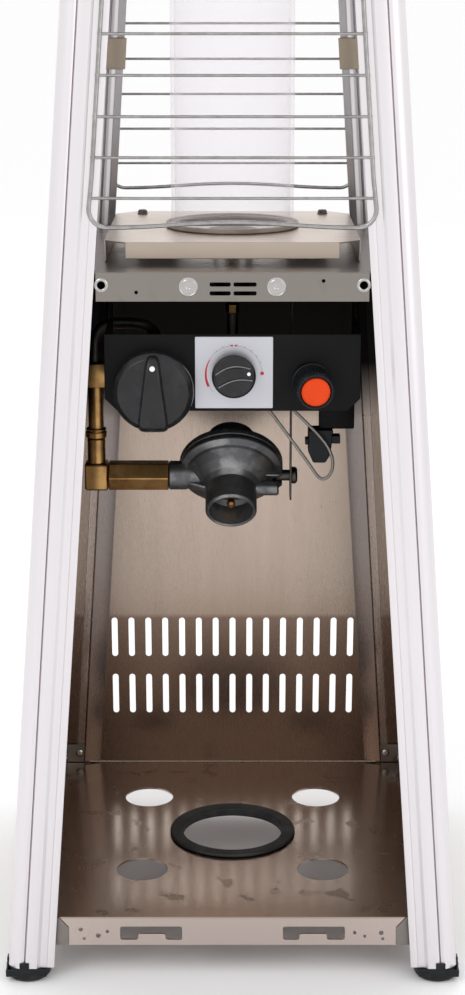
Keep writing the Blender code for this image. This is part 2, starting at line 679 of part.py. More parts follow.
def make_control_box():
    front = BOX_FRONT + THIN_SHEET / 2
    half = BOX_HALF - THIN_SHEET / 2
    low = BOX_BOTTOM + THIN_SHEET / 2
    shoulder = low + BOX_CORNER
    outward = igniter_axis()
    reach = (front - IGNITER_FRONT[1]) / outward.y
    igniter_hole = Vector(IGNITER_FRONT) + outward * reach
    holes = [circle(CONTROL_X, CONTROL_Z, 5.0, 16), circle(GAS_X, GAS_Z, 5.0, 16),
             circle(igniter_hole.x, igniter_hole.z, BARREL_RADIUS + 0.8, 24)]
    outline = [(-half, shoulder), (-half + BOX_CORNER, low), (half - BOX_CORNER, low), (half, shoulder),
               (half, BOX_TOP), (-half, BOX_TOP)]
    flats = [(outline, holes, lambda x, z: (x, front, z))]
    flats.append((rectangle(-half + BOX_CORNER, half - BOX_CORNER, front, BOX_BACK), [], level(low)))
    wall = [(front, shoulder), (BOX_BACK, shoulder), (BOX_BACK, PANEL_TOP), (BOX_BACK - BOX_TAB, PANEL_TOP),
            (BOX_BACK - BOX_TAB, BOX_TOP), (front, BOX_TOP)]
    for sign in (-1, 1):
        flats.append((wall, [], lambda y, z, sign=sign: (sign * half, y, z)))
        chamfer = rectangle(0, 1, front, BOX_BACK)
        flats.append((chamfer, [], lambda t, y, sign=sign: (sign * (half - BOX_CORNER * (1 - t)), y,
                                                            low + BOX_CORNER * t)))
    folded("control_box", flats, THIN_SHEET, "black_paint")
    plate_back = BOX_FRONT - GAP
    prism("dial_plate", rectangle(DIAL_LEFT, DIAL_RIGHT, DIAL_LOW, DIAL_HIGH),
          [circle(CONTROL_X, CONTROL_Z, 6.0, 16)], lambda x, z, y: (x, y, z),
          (plate_back - DIAL_THICK, plate_back), "dial_silver")


def facing_front():
    """Turns +Z to the front and keeps +Y pointing up."""
    return Matrix.Rotation(math.radians(90), 3, "X")


def make_control_valve():
    """Valve body, the stem that is pushed in against a spring, and the knob that turns on it."""
    axis = axis_empty("control_valve_axis", (CONTROL_X, BOX_FRONT, CONTROL_Z), facing_front())
    body_front = VALVE_FRONT - BOX_FRONT
    body = block("control_valve_body", (-15, -17, -(CONTROL_BACK - BOX_FRONT)), (15, 17, -body_front),
                 "zinc_casting", 2.0, axis)
    bore = turned("control_valve_bore", [(0, -14), (STEM_RADIUS + GAP, -14), (STEM_RADIUS + GAP, 2),
                                         (0, 2)], 16, "brass", axis)
    combine(body, bore, "DIFFERENCE")
    turned("control_valve_stem", [(0, -9.5), (STEM_RADIUS, -9.5), (STEM_RADIUS, 12), (0, 12)], 16,
           "brass", axis)
    low = GAP + DIAL_THICK + CONTROL_TRAVEL + 0.4
    high = low + 16
    r = CONTROL_KNOB_RADIUS
    knob = turned("control_knob",
                  [(0, 12 + GAP), (STEM_RADIUS + GAP, 12 + GAP), (STEM_RADIUS + GAP, low), (r, low),
                   (r, low + 8), (r - 1.5, low + 9.5), (0, low + 9.5)], 28, "knob_plastic", axis)
    grip = block("control_knob_grip", (-r + 1.2, -4.0, low + 9), (r - 1.2, 4.0, high), "knob_plastic",
                 1.2, axis)
    combine(knob, grip, "UNION")


def make_gas_valve():
    axis = axis_empty("gas_valve_axis", (GAS_X, BOX_FRONT, GAS_Z), facing_front())
    back = BOX_FRONT - GAS_BACK
    body = block("gas_valve_body", (-13, -12.4, back), (13, 14, -(VALVE_FRONT - BOX_FRONT)),
                 "zinc_casting", 2.0, axis)
    bore = turned("gas_valve_bore", [(0, -15), (STEM_RADIUS + 2 * GAP, -15), (STEM_RADIUS + 2 * GAP, 2),
                                     (0, 2)], 16, "brass", axis)
    combine(body, bore, "DIFFERENCE")
    r = GAS_KNOB_RADIUS
    knob = turned("gas_knob",
                  [(0, -12), (STEM_RADIUS + GAP, -12), (STEM_RADIUS + GAP, 3), (r - 1, 3), (r, 4),
                   (r, 8), (r - 3, 13), (r - 10, 17), (0, 18)], 32, "knob_plastic", axis)
    ridge = [(-5.5, r - 2.2), (-9.5, -r + 4.5), (-5, -r + 1.8), (5, -r + 1.8), (9.5, -r + 4.5), (5.5, r - 2.2),
             (3, r - 1.2), (-3, r - 1.2)]
    grip = prism("gas_knob_grip", ridge, [], lambda x, y, z: (x, y, z), (6.0, 25.0), "knob_plastic", axis)
    combine(knob, grip, "UNION")


def make_gas_feed_tube():
    back = GAS_BACK + GAP
    side = RISER_X
    pipe("gas_feed_tube",
         [(side, 0, RISER_TOP + GAP), (side, 0, 420), (side + 2, 0, 432), (side + 20, 2, 434),
          (GAS_X - 4, 2, 432), (GAS_X, -10, 420), (GAS_X, -30, 411), (GAS_X, -50, 410), (GAS_X, back, 410)],
         4.0, "brass")


def make_igniter():
    """Push igniter: barrel through the box, screwed cap and sprung button, on one leaning axis."""
    axis = axis_empty("igniter_axis", IGNITER_FRONT, igniter_axis().to_track_quat("Z", "Y").to_matrix())
    front = -2.4
    back = -CAP_LENGTH - GAP
    r = BARREL_RADIUS
    bore = BUTTON_RADIUS + GAP
    floor = -CAP_LENGTH - 1.0
    turned("igniter_body",
           [(0, -48), (r - 2, -48), (r, -46), (r, back - 2.0), (CAP_RADIUS, back - 2.0),
            (CAP_RADIUS, back), (r, back), (r, front), (bore, front), (bore, floor), (0, floor)],
           24, "black_plastic", axis)
    inner = BARREL_RADIUS + GAP
    turned("igniter_cap",
           [(bore, 0), (CAP_RADIUS - 1, 0), (CAP_RADIUS, -1.2), (CAP_RADIUS, -CAP_LENGTH),
            (inner, -CAP_LENGTH), (inner, -2.1), (bore, -2.1)], 28, "black_plastic", axis, ring=True)
    b = BUTTON_RADIUS
    turned("igniter_button", [(0, 2.6), (b - 3, 2.4), (b - 1, 1.6), (b, 0.4), (b, floor + BUTTON_TRAVEL + 0.6),
                              (0, floor + BUTTON_TRAVEL + 0.6)], 24, "orange_plastic", axis)


# ---- gas regulator and its pipe ----------------------------------------------------------------
def make_regulator():
    """Two shells joined at a rim, a socket for the cylinder, and lugs on the swing axis."""
    axis = axis_empty("regulator_axis", (PIVOT_X, 0, PIVOT_Z),
                      Matrix.Rotation(math.radians(REST_SWING), 3, "X"))
    s, mouth, rim = SOCKET_RADIUS, -SOCKET_MOUTH, RIM_RADIUS
    shell = turned("regulator_lower_shell",
                   [(SOCKET_BORE, mouth), (s - 1.6, mouth), (s, mouth + 1.5), (s, -14), (s + 2.6, -10),
                    (rim - 8.5, -4), (rim - 1.5, RIM_Z - 4), (rim, RIM_Z - 2.6), (rim, RIM_Z),
                    (rim - 4.5, RIM_Z), (rim - 4.5, RIM_Z - 2), (rim - 13.5, -1), (14, -6.5), (3.6, -7),
                    (3.6, -12), (SOCKET_BORE, -12)],
                   24, "zinc_casting", axis, ring=True)
    neck = RIM_Z - 0.2
    root = rim - 9.5
    left = turned("regulator_left_lug",
                  [(0, LUG_LEFT), (LUG_RADIUS, LUG_LEFT), (LUG_RADIUS, -rim - 0.8), (neck, -rim - 0.8),
                   (neck, -root), (0, -root)], 20, "zinc_casting", axis, turn=along_x())
    right = turned("regulator_right_lug", [(0, root), (neck, root), (neck, LUG_RIGHT - 4),
                                           (6, LUG_RIGHT), (0, LUG_RIGHT)], 16, "zinc_casting", axis,
                   turn=along_x())
    plug = turned("regulator_plug", [(0, 13), (5, 13), (5, rim - 3.5), (4, rim - 2.5), (0, rim - 2.5)], 12,
                  "zinc_casting", axis, turn=along_x(z=-12.5))
    left_bore = turned("regulator_left_bore", [(0, LUG_LEFT - 5), (SPIGOT_RADIUS + GAP, LUG_LEFT - 5),
                                               (SPIGOT_RADIUS + GAP, LUG_LEFT + 8.5), (0, LUG_LEFT + 8.5)], 20,
                       "zinc_casting", axis, turn=along_x())
    right_bore = turned("regulator_right_bore", [(0, LUG_RIGHT - 7), (PIVOT_RADIUS + GAP, LUG_RIGHT - 7),
                                                 (PIVOT_RADIUS + GAP, LUG_RIGHT + 5), (0, LUG_RIGHT + 5)],
                        16, "zinc_casting", axis, turn=along_x())
    for lug in (left, right, plug):
        combine(shell, lug, "UNION")
    for bore in (left_bore, right_bore):
        combine(shell, bore, "DIFFERENCE")
    seat = RIM_Z + GAP
    turned("regulator_bonnet",
           [(0, 37), (16, 37), (18, 35), (18, 22), (rim - 13.5, 18), (rim - 3.5, 12.5), (rim, 10.5),
            (rim, seat), (rim - 4.5, seat), (rim - 6.5, 9.5), (20, 15.5), (15.5, 20), (15.5, 33.5),
            (0, 33.5)], 24, "zinc_casting", axis)
    turned("regulator_valve_pin",
           [(0, -8), (3.2, -8), (3.2, -12 - GAP), (6.5, -12 - GAP), (6.5, -15), (3, -16), (2, -22),
            (2.6, -26), (1.6, -28), (0, -28)], 16, "brass", axis)


def make_inlet():
    """Brass bar and elbow, the riser, and what the regulator hangs from on the other side."""
    elbow_right = RISER_X + ELBOW_HALF
    bar_end = PIVOT_X + LUG_LEFT - GAP
    radius = BAR_ACROSS / 2 / math.cos(math.pi / 6)
    facet = Matrix.Rotation(math.radians(30), 4, "Z")
    bar = turned("inlet_bar", [(0, elbow_right + GAP), (radius, elbow_right + GAP), (radius, bar_end),
                               (0, bar_end)], 6, "brass", turn=along_x(z=PIVOT_Z) @ facet)
    tip = PIVOT_X + LUG_LEFT + 8.0
    spigot = turned("inlet_bar_spigot", [(0, bar_end - 5), (SPIGOT_RADIUS, bar_end - 5),
                                         (SPIGOT_RADIUS, tip), (0, tip)], 20, "brass",
                    turn=along_x(z=PIVOT_Z))
    combine(bar, spigot, "UNION")
    half, tall = ELBOW_HALF, BAR_ACROSS / 2
    elbow = block("inlet_elbow", (RISER_X - half, -half, PIVOT_Z - tall), (RISER_X + half, half, PIVOT_Z + tall),
                  "brass", 1.5)
    top = PIVOT_Z + tall
    spot = Matrix.Translation((RISER_X, 0, 0))
    neck = turned("inlet_elbow_neck", [(0, top - 3), (6.5, top - 3), (6.5, top + 18), (0, top + 18)], 20,
                  "brass", turn=spot)
    combine(elbow, neck, "UNION")
    nut_low, nut_high = top + 18 + GAP, top + 25.5
    r = RISER_RADIUS
    turned("riser_nut", [(r + GAP, nut_low), (7.6, nut_low), (7.6, nut_high), (r + GAP, nut_high)], 6 * 4,
           "brass", ring=True, turn=spot)
    low, high = nut_low, RISER_TOP - 9
    turned("riser_tube", [(0, low), (r, low), (r, high), (0, high)], 20, "brass", turn=spot)
    hold = 8.0
    cube = block("riser_block", (RISER_X - hold, -hold, RISER_TOP - 17.5), (RISER_X + hold, hold, RISER_TOP),
                 "brass", 1.2)
    seat = turned("riser_block_bore", [(0, RISER_TOP - 30), (r + GAP, RISER_TOP - 30), (r + GAP, high + GAP),
                                       (0, high + GAP)], 20, "brass", turn=spot)
    combine(cube, seat, "DIFFERENCE")


def make_hanger():
    """A thin strap from the plate above down to the far end of the regulator's axis, and its stud."""
    half = STRAP_HALF
    foot = [(-half + 3, STRAP_BOTTOM), (half - 3, STRAP_BOTTOM), (half, STRAP_BOTTOM + 3),
            (half, PANEL_TOP - THIN_SHEET / 2), (-half, PANEL_TOP - THIN_SHEET / 2), (-half, STRAP_BOTTOM + 3)]
    flats = [(foot, [circle(0, PIVOT_Z, PIVOT_RADIUS + GAP, 16)], lambda y, z: (STRAP_X, y, z)),
             (rectangle(STRAP_X, STRAP_X + 14, -half, half), [], level(PANEL_TOP - THIN_SHEET / 2))]
    folded("hanger_strap", flats, THIN_SHEET, "dark_steel")
    r = PIVOT_RADIUS
    tip = PIVOT_X + LUG_RIGHT - 5
    face = STRAP_X + THIN_SHEET / 2 + GAP
    turned("pivot_stud", [(0, tip), (r, tip), (r, face), (6.2, face), (6.2, face + 2.6), (4.6, face + 4),
                          (0, face + 4)], 16, "dark_steel", turn=along_x(z=PIVOT_Z))


def make_tilt_switch():
    x0, x1, y0, y1, z0, z1 = SWITCH
    body = block("tilt_switch", (x0, y0, z0), (x1, y1, z1), "black_plastic", 1.5)
    lug = block("tilt_switch_lug", (x1 - 2, y0 + 2, z1 - 10), (x1 + 4.7, y1 - 3, z1 - 5), "black_plastic")
    combine(body, lug, "UNION")
    x0, x1, y0, y1, z0, z1 = SWITCH_BRACKET
    block("tilt_switch_bracket", (x0, y0, z0), (x1, y1, z1), "black_paint", 1.0)
    y = SWITCH[2] - 3.5
    top = BOX_BOTTOM - GAP - 1.0
    route = [(19.6, y, top), (26.7, y, 382.3), (42.0, y, 361.3), (54.0, y, 344.7), (58.0, y, 338.2),
             (61.5, y, 334.6), (66.5, y, 336.4), (69.6, y, 343.0), (69.3, y, 350.0), (66.4, y, 358.0),
             (60.6, y, 365.6), (53.7, y, 372.4), (43.9, y, 382.3), (33.8, y, top)]
    pipe("tilt_switch_lead", route, 1.1, "dark_steel", smoothness=3)


def main():
    for old in list(bpy.data.objects):
        bpy.data.objects.remove(old, do_unlink=True)
    make_posts()
    make_foot_caps()
    make_base_plate()
    make_base_hole_edging()
    make_base_brackets()
    make_panels()
    make_mid_plate()
    make_burner_deck()
    make_burner()
    make_pilot()
    make_flame_tube()
    make_grilles()
    make_top()
    make_control_box()
    make_control_valve()
    make_gas_valve()
    make_gas_feed_tube()
    make_igniter()
    make_regulator()
    make_inlet()
    make_hanger()
    make_tilt_switch()


main()
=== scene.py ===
"""The looks of a small pyramid patio heater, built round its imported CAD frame.

Shapes are drawn in millimetres in the CAD model's own frame: +Z up, the front is -Y. make_piece
turns them into metres. Materials are node graphs written as sums on sockets.
"""
import json
import math

import bmesh
import bpy
from mathutils import Matrix, Vector


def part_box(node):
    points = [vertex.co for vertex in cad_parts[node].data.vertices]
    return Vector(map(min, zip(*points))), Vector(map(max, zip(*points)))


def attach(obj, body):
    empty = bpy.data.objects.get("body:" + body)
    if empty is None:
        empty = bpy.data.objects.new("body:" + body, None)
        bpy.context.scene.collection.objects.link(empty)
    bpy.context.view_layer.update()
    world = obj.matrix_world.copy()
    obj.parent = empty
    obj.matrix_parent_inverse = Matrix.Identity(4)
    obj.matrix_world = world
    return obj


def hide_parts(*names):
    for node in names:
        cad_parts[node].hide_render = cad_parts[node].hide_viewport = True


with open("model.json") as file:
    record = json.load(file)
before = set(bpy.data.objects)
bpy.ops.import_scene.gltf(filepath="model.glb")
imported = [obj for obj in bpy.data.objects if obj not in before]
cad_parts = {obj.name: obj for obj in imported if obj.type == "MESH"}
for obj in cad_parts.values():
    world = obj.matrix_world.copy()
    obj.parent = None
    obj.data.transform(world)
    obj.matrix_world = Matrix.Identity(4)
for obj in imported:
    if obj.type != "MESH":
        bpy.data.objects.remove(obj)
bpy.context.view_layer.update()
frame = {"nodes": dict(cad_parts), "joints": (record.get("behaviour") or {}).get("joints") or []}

MM = 0.001
BODY = "frame"


# ---- sizes read from the CAD frame, in millimetres ---------------------------------------------
def box_mm(node):
    low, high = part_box(node)
    return low / MM, high / MM


POST_LOW, POST_HIGH = box_mm("post_front_left")
FOOT_LOW, FOOT_HIGH = box_mm("foot_cap_front_left")
BASE_LOW, BASE_HIGH = box_mm("base_plate")
EDGE_LOW, EDGE_HIGH = box_mm("base_hole_edging")
MID_LOW, MID_HIGH = box_mm("mid_plate")
DECK_LOW, DECK_HIGH = box_mm("burner_deck")
PANEL_LOW, PANEL_HIGH = box_mm("rear_panel")
TUBE_LOW, TUBE_HIGH = box_mm("glass_tube")
SEAT_LOW, SEAT_HIGH = box_mm("tube_seat_ring")
GRILLE_LOW, GRILLE_HIGH = box_mm("front_grille")
TOP_LOW, TOP_HIGH = box_mm("top_plate")
SCREEN_LOW, SCREEN_HIGH = box_mm("flame_screen")
HOOD_LOW, HOOD_HIGH = box_mm("reflector_hood")
STUD_LOW, STUD_HIGH = box_mm("hood_stud")
BOX_LOW, BOX_HIGH = box_mm("control_box")
DIAL_LOW, DIAL_HIGH = box_mm("dial_plate")
CUP_LOW, CUP_HIGH = box_mm("burner_cup")

SHEET = 1.5
THIN_SHEET = 1.2
GAP = 0.3
BASE_HALF = 155.0
POST_TOP = POST_HIGH.z
TOP_HALF = 91.2
POST_LEG = 31.0
POST_WALL = 1.3
POST_CORNER = 9.0
FLANGE_STEP = 2.2
PANEL_INSET = 12.0
GRILLE_SIDE = 24.5
GRILLE_PITCH = 25.7
TUBE_RADIUS = TUBE_HIGH.x
LEAN = (BASE_HALF - TOP_HALF) / POST_TOP
POST_RUN = 78.9  # the run that a post's painted shade bands are laid out by; the outer line itself is about 66 mm long
GUARD_INSET = FLANGE_STEP - GAP - 1.3
GUARD_WIRES = 14
GUARD_LOWEST_WIRE = 535.0
THREAD_X = 85.2
THREAD_Z = 479.2
REGULATOR_TILT = -53.5
CAMERA_LENS = 72.92
CAMERA_PLACE = (0.0, -1.416, 0.683)
CAMERA_PITCH = 14.94
PIVOT = {j["name"]: Vector(j.get("pos_m", (0, 0, 0))) / MM for j in frame["joints"]}
AXIS = {j["name"]: Vector(j["axis"]) for j in frame["joints"]}
FRONT, RIGHT, REAR, LEFT = 0, 1, 2, 3
SIDES = {"front": FRONT, "right": RIGHT, "rear": REAR, "left": LEFT}
CORNERS = {"front_left": (-1, -1), "front_right": (1, -1), "rear_left": (-1, 1), "rear_right": (1, 1)}


def half_width(z):
    """Half the width over the posts at height z."""
    return BASE_HALF - (BASE_HALF - TOP_HALF) * z / POST_TOP


# ---- shader sums --------------------------------------------------------------------------------
class Sum:
    """A shader socket that takes part in sums: each operator adds a Math node."""

    def __init__(self, graph, socket):
        self.graph = graph
        self.socket = socket

    def math(self, operation, *others):
        return self.graph.add("ShaderNodeMath", {"operation": operation}, (self, *others))

    def __add__(self, other):
        return self.math("ADD", other)

    def __sub__(self, other):
        return self.math("SUBTRACT", other)

    def __mul__(self, other):
        return self.math("MULTIPLY", other)

    def __truediv__(self, other):
        return self.math("DIVIDE", other)

    def __pow__(self, other):
        return self.math("POWER", other)

    def __neg__(self):
        return self * -1.0

    def __rsub__(self, other):
        return -self + other

    def __rtruediv__(self, other):
        return self.graph.add("ShaderNodeMath", {"operation": "DIVIDE"}, (other, self))

    __radd__ = __add__
    __rmul__ = __mul__

    def above(self, edge, soft=0.0):
        """1 above the edge and 0 below it, with a soft step."""
        if not soft:
            return self.math("GREATER_THAN", edge)
        return ((self - edge) / soft + 0.5).clamped()

    def below(self, edge, soft=0.0):
        return 1.0 - self.above(edge, soft)

    def between(self, low, high, soft=0.0):
        return self.above(low, soft) * self.below(high, soft)

    def clamped(self):
        return self.graph.add("ShaderNodeClamp", {}, {"Value": self})

    def size(self):
        return self.math("ABSOLUTE")


class Graph:
    """A material's node graph with one Principled shader."""

    def __init__(self, name, colour, roughness, metallic=0.0, **constants):
        self.material = bpy.data.materials.new(name)
        self.material.use_nodes = True
        self.material.diffuse_color = (*colour, 1.0)
        self.tree = self.material.node_tree
        self.shader = self.tree.nodes["Principled BSDF"]
        self.colour = colour
        self.fixed("Base Color", (*colour, 1.0))
        self.fixed("Roughness", roughness)
        self.fixed("Metallic", metallic)
        for socket, value in constants.items():
            self.fixed(socket.replace("_", " "), value)

    def fixed(self, socket, value):
        self.shader.inputs[socket].default_value = value

    def link(self, socket, value):
        self.tree.links.new(value.socket, self.shader.inputs[socket])

    def add(self, kind, settings=None, inputs=None, output=0):
        """Add a node: its settings first, then the values or links of its sockets."""
        node = self.tree.nodes.new(kind)
        for name, value in (settings or {}).items():
            if name == "stops":
                self.set_stops(node.color_ramp, value)
            else:
                setattr(node, name, value)
        pairs = inputs.items() if isinstance(inputs, dict) else enumerate(inputs or ())
        for key, value in pairs:
            if isinstance(value, Sum):
                self.tree.links.new(value.socket, node.inputs[key])
            else:
                node.inputs[key].default_value = value
        return Sum(self, node.outputs[output])

    @staticmethod
    def set_stops(ramp, stops):
        while len(ramp.elements) < len(stops):
            ramp.elements.new(0.5)
        for element, (place, colour) in zip(ramp.elements, stops):
            element.position = place
            element.color = (*colour, 1.0) if len(colour) == 3 else colour

    def place(self, stretch=(1.0, 1.0, 1.0), turn=(0.0, 0.0, 0.0), shift=(0.0, 0.0, 0.0)):
        """Object coordinates in metres, moved, turned and stretched."""
        coords = self.add("ShaderNodeTexCoord", output=3)
        return self.add("ShaderNodeMapping", {}, {"Vector": coords, "Location": shift,
                                                  "Rotation": turn, "Scale": stretch})

    def along(self, stretch):
        """The piece's own UV map, in metres, stretched."""
        uv = self.add("ShaderNodeUVMap", {"uv_map": "run"})
        return self.add("ShaderNodeMapping", {}, {"Vector": uv, "Scale": (*stretch, 1.0)})

    def noise(self, coords, scale, detail=3.0, rough=0.55):
        return self.add("ShaderNodeTexNoise", {}, {"Vector": coords, "Scale": scale, "Detail": detail,
                                                   "Roughness": rough})

    def axes(self, coords):
        split = self.tree.nodes.new("ShaderNodeSeparateXYZ")
        self.tree.links.new(coords.socket, split.inputs[0])
        return [Sum(self, out) for out in split.outputs]

    def ramp(self, value, stops):
        return self.add("ShaderNodeValToRGB", {"stops": stops}, (value,))

    def mix(self, share, first, second):
        """A colour mix: share 0 gives the first colour, 1 the second."""
        def full(colour):
            return colour if isinstance(colour, Sum) else (*colour, 1.0)
        colours = {0: share, 6: full(first), 7: full(second)}
        return self.add("ShaderNodeMix", {"data_type": "RGBA"}, colours, 2)

    def bump(self, height, strength, distance=0.0004):
        self.link("Normal", self.add("ShaderNodeBump", {}, {"Strength": strength, "Distance": distance,
                                                            "Height": height}))

    def tint(self, share, second):
        """Vary the base colour towards a second colour."""
        self.link("Base Color", self.mix(share, self.colour, second))


# ---- materials -----------------------------------------------------------------------------------
def post_aluminium():
    """Satin extrusion: fine lines along its length, and painted shade and painted reflection darkening each
    band of the profile, weaker low down.
    """
    g = Graph("satin_post_aluminium", (0.83, 0.79, 0.81), 0.34, 1.0)
    lines = g.noise(g.along((2600.0, 9.0)), 1.0, 3.0)
    cloud = g.noise(g.place((6.0, 6.0, 2.0)), 2.0, 2.0)
    run, _, _ = g.axes(g.along((1.0, 1.0)))
    height = g.axes(g.place())[2]
    near = run.math("MINIMUM", POST_RUN * MM - run)
    # Painted shade and painted reflection: the flange, step, groove and bead faces are tinted darker to stand
    # in for the light and shade on each face, more strongly above about 0.2 m.
    flange = near.between(-0.001, 0.0058, 0.0015) * 0.9
    step = near.between(0.0088, 0.0122, 0.0012) * 0.75
    groove = near.between(0.0205, 0.0245, 0.0012) * 0.8
    bead = near.between(0.0315, 0.0345, 0.0015) * 0.6
    bands = (flange + step + groove + bead) * (height.above(0.20, 0.25) * 0.85 + 0.20)
    g.link("Roughness", 0.27 + lines * 0.10 + cloud * 0.05)
    g.tint((bands + cloud * 0.12 + lines * 0.10).clamped(), (0.40, 0.385, 0.395))
    g.bump(lines, 0.10, 0.00008)
    return g.material


def warm_stainless(name, colour, brushed, roughness):
    """Half-mirror stainless sheet with a brushed grain, faint smudges and finger marks."""
    g = Graph(name, colour, roughness, 1.0)
    grain = g.noise(g.place(brushed), 1.0, 4.0, 0.65)
    smudge = g.noise(g.place((1.0, 1.0, 1.0)), 9.0, 3.0)
    marks = g.noise(g.place((1.0, 1.0, 1.0), shift=(3.0, 1.0, 2.0)), 46.0, 2.0).above(0.66, 0.08)
    g.link("Roughness", grain * 0.10 + smudge * 0.10 + marks * 0.06 + (roughness - 0.10))
    dark = tuple(c * 0.80 for c in colour)
    g.tint((smudge * 0.7 + marks * 0.25).clamped(), dark)
    g.bump(grain + marks * 0.3, 0.10, 0.00006)
    return g.material


def panel_steel():
    """Mirror-brushed panel sheet. Its inner face carries painted reflection and painted shade: a brown
    painted reflection of the base low on the rear panel, darker painted shade near the bottom, near-black
    painted shade behind the control box, darker painted shade over the side panels, and a dark and a light
    painted reflection strip along each side margin of the rear panel.
    """
    g = Graph("panel_stainless", (0.50, 0.405, 0.34), 0.24, 1.0)
    grain = g.noise(g.place((1500.0, 1500.0, 14.0)), 1.0, 4.0, 0.65)
    broad = g.noise(g.place((60.0, 60.0, 3.0)), 1.0, 3.0)
    smudge = g.noise(g.place((1.0, 1.0, 1.0)), 9.0, 3.0)
    x, y, z = g.axes(g.place())
    reach = x.math("ABSOLUTE").math("MAXIMUM", y.math("ABSOLUTE"))
    # The painted reflection and shade below go only on the panels' inner faces.
    inside = (reach + z * LEAN).math("LESS_THAN", (BASE_HALF - PANEL_INSET - 0.7) * MM)
    # Painted light masks: low is the brown painted reflection of the base plate, lower the darker painted
    # shade near the bottom, upper the near-black painted shade behind the control box.
    low = z.below(0.172, 0.004)
    lower = z.below(0.120, 0.09)
    rear = y.math("GREATER_THAN", 0.085)
    upper = z.above(0.360, 0.045) * inside
    tone = g.mix((grain * 0.35 + smudge * 0.35).clamped(), g.colour, (0.40, 0.31, 0.25))
    tone = g.mix((broad.above(0.45, 0.3) * 0.35).clamped(), tone, (0.58, 0.475, 0.40))
    margin = (BASE_HALF * MM - z * LEAN - x.math("ABSOLUTE")) * rear
    # Painted shade over the side panels' inner faces, and a dark painted reflection strip along the rear
    # panel's side margins.
    side = (inside * (1.0 - rear) + margin.between(0.0295, 0.0436, 0.0006) * inside).clamped()
    # A light painted reflection strip beside the dark one.
    bright = margin.between(0.0227, 0.0293, 0.0006) * inside
    # These mixes paint the reflections and shade into the base colour.
    tone = g.mix(side * 0.75, tone, (0.17, 0.155, 0.16))
    tone = g.mix(low * inside * rear * (1.0 - side) * 0.9, tone, (0.27, 0.19, 0.15))
    tone = g.mix(bright * 0.8, tone, (0.72, 0.69, 0.68))
    tone = g.mix(lower * inside * (1.0 - bright * 0.6) * 0.75, tone, (0.15, 0.098, 0.072))
    tone = g.mix(upper, tone, (0.022, 0.019, 0.018))
    g.link("Base Color", tone)
    g.link("Roughness", grain * 0.12 + smudge * 0.08 + upper * 0.3 + 0.16)
    g.bump(grain, 0.12, 0.00006)
    return g.material


def base_steel():
    """Base plate sheet: brown mirror on top with smudges and spots; its folded edges are painted lighter as a
    painted reflection.
    """
    g = Graph("base_stainless", (0.47, 0.385, 0.325), 0.18, 1.0)
    grain = g.noise(g.place((900.0, 30.0, 300.0)), 1.0, 4.0, 0.65)
    smudge = g.noise(g.place(), 11.0, 3.0)
    spots = g.noise(g.place(shift=(3.0, 1.0, 2.0)), 42.0, 2.0).above(0.63, 0.05)
    z = g.axes(g.place())[2]
    # Painted reflection: the folded lip below the top surface is made lighter to stand in for the brighter
    # light it catches.
    edge = z.below(0.0412, 0.0006)
    tone = g.mix((smudge * 0.5 + grain * 0.25).clamped(), g.colour, (0.36, 0.285, 0.235))
    tone = g.mix(spots * 0.30, tone, (0.19, 0.145, 0.115))
    tone = g.mix(edge, tone, (0.56, 0.47, 0.43))
    g.link("Base Color", tone)
    g.link("Roughness", grain * 0.10 + smudge * 0.12 + spots * 0.10 + 0.07)
    g.bump(grain + spots * 0.3, 0.08, 0.00006)
    return g.material


def deck_steel():
    """Brushed sheet, bluish-brown where the burner's heat reaches it."""
    g = Graph("deck_steel", (0.50, 0.415, 0.355), 0.28, 1.0)
    x, y, _ = g.axes(g.place())
    reach = (x * x + y * y) ** 0.5
    grain = g.noise(g.place((20.0, 1600.0, 60.0)), 1.0, 4.0, 0.6)
    heat = reach.below(0.062, 0.03) * 0.45
    g.tint((heat + grain * 0.15).clamped(), (0.30, 0.22, 0.16))
    g.link("Roughness", 0.22 + grain * 0.14)
    g.bump(grain, 0.10, 0.00006)
    return g.material


def hot_steel():
    """Steel round the flame, dulled and coloured by heat."""
    g = Graph("hot_steel", (0.20, 0.18, 0.165), 0.45, 1.0)
    cloud = g.noise(g.place(), 60.0, 4.0)
    g.link("Base Color", g.ramp(cloud, [(0.30, (0.05, 0.045, 0.043)), (0.55, (0.11, 0.098, 0.09)),
                                        (0.75, (0.15, 0.12, 0.115))]))
    g.link("Roughness", 0.36 + cloud * 0.22)
    g.bump(cloud, 0.2, 0.00015)
    return g.material


def black_paint():
    g = Graph("matte_black_paint", (0.007, 0.007, 0.0075), 0.46, Specular_IOR_Level=0.10)
    peel = g.noise(g.place(), 900.0, 2.0)
    dust = g.noise(g.place(), 35.0, 4.0).above(0.60, 0.25)
    g.link("Roughness", 0.42 + peel * 0.10 + dust * 0.10)
    g.tint(dust * 0.35, (0.016, 0.016, 0.016))
    g.bump(peel, 0.15, 0.00008)
    return g.material


def black_plastic():
    g = Graph("moulded_black_plastic", (0.010, 0.011, 0.013), 0.36, Specular_IOR_Level=0.20)
    grain = g.noise(g.place(), 1400.0, 2.0)
    scuff = g.noise(g.place(), 80.0, 3.0).above(0.62, 0.1)
    g.link("Roughness", 0.32 + grain * 0.10 + scuff * 0.12)
    g.tint(scuff * 0.4, (0.04, 0.04, 0.043))
    g.bump(grain, 0.12, 0.00006)
    return g.material


def knob_plastic():
    g = Graph("glossy_knob_plastic", (0.012, 0.012, 0.013), 0.20, Specular_IOR_Level=0.34)
    cloud = g.noise(g.place(), 120.0, 3.0)
    fine = g.noise(g.place(), 1500.0, 2.0)
    g.link("Roughness", 0.16 + cloud * 0.12)
    g.tint(cloud.above(0.6, 0.2) * 0.3, (0.03, 0.033, 0.04))
    g.bump(fine, 0.05, 0.00004)
    return g.material


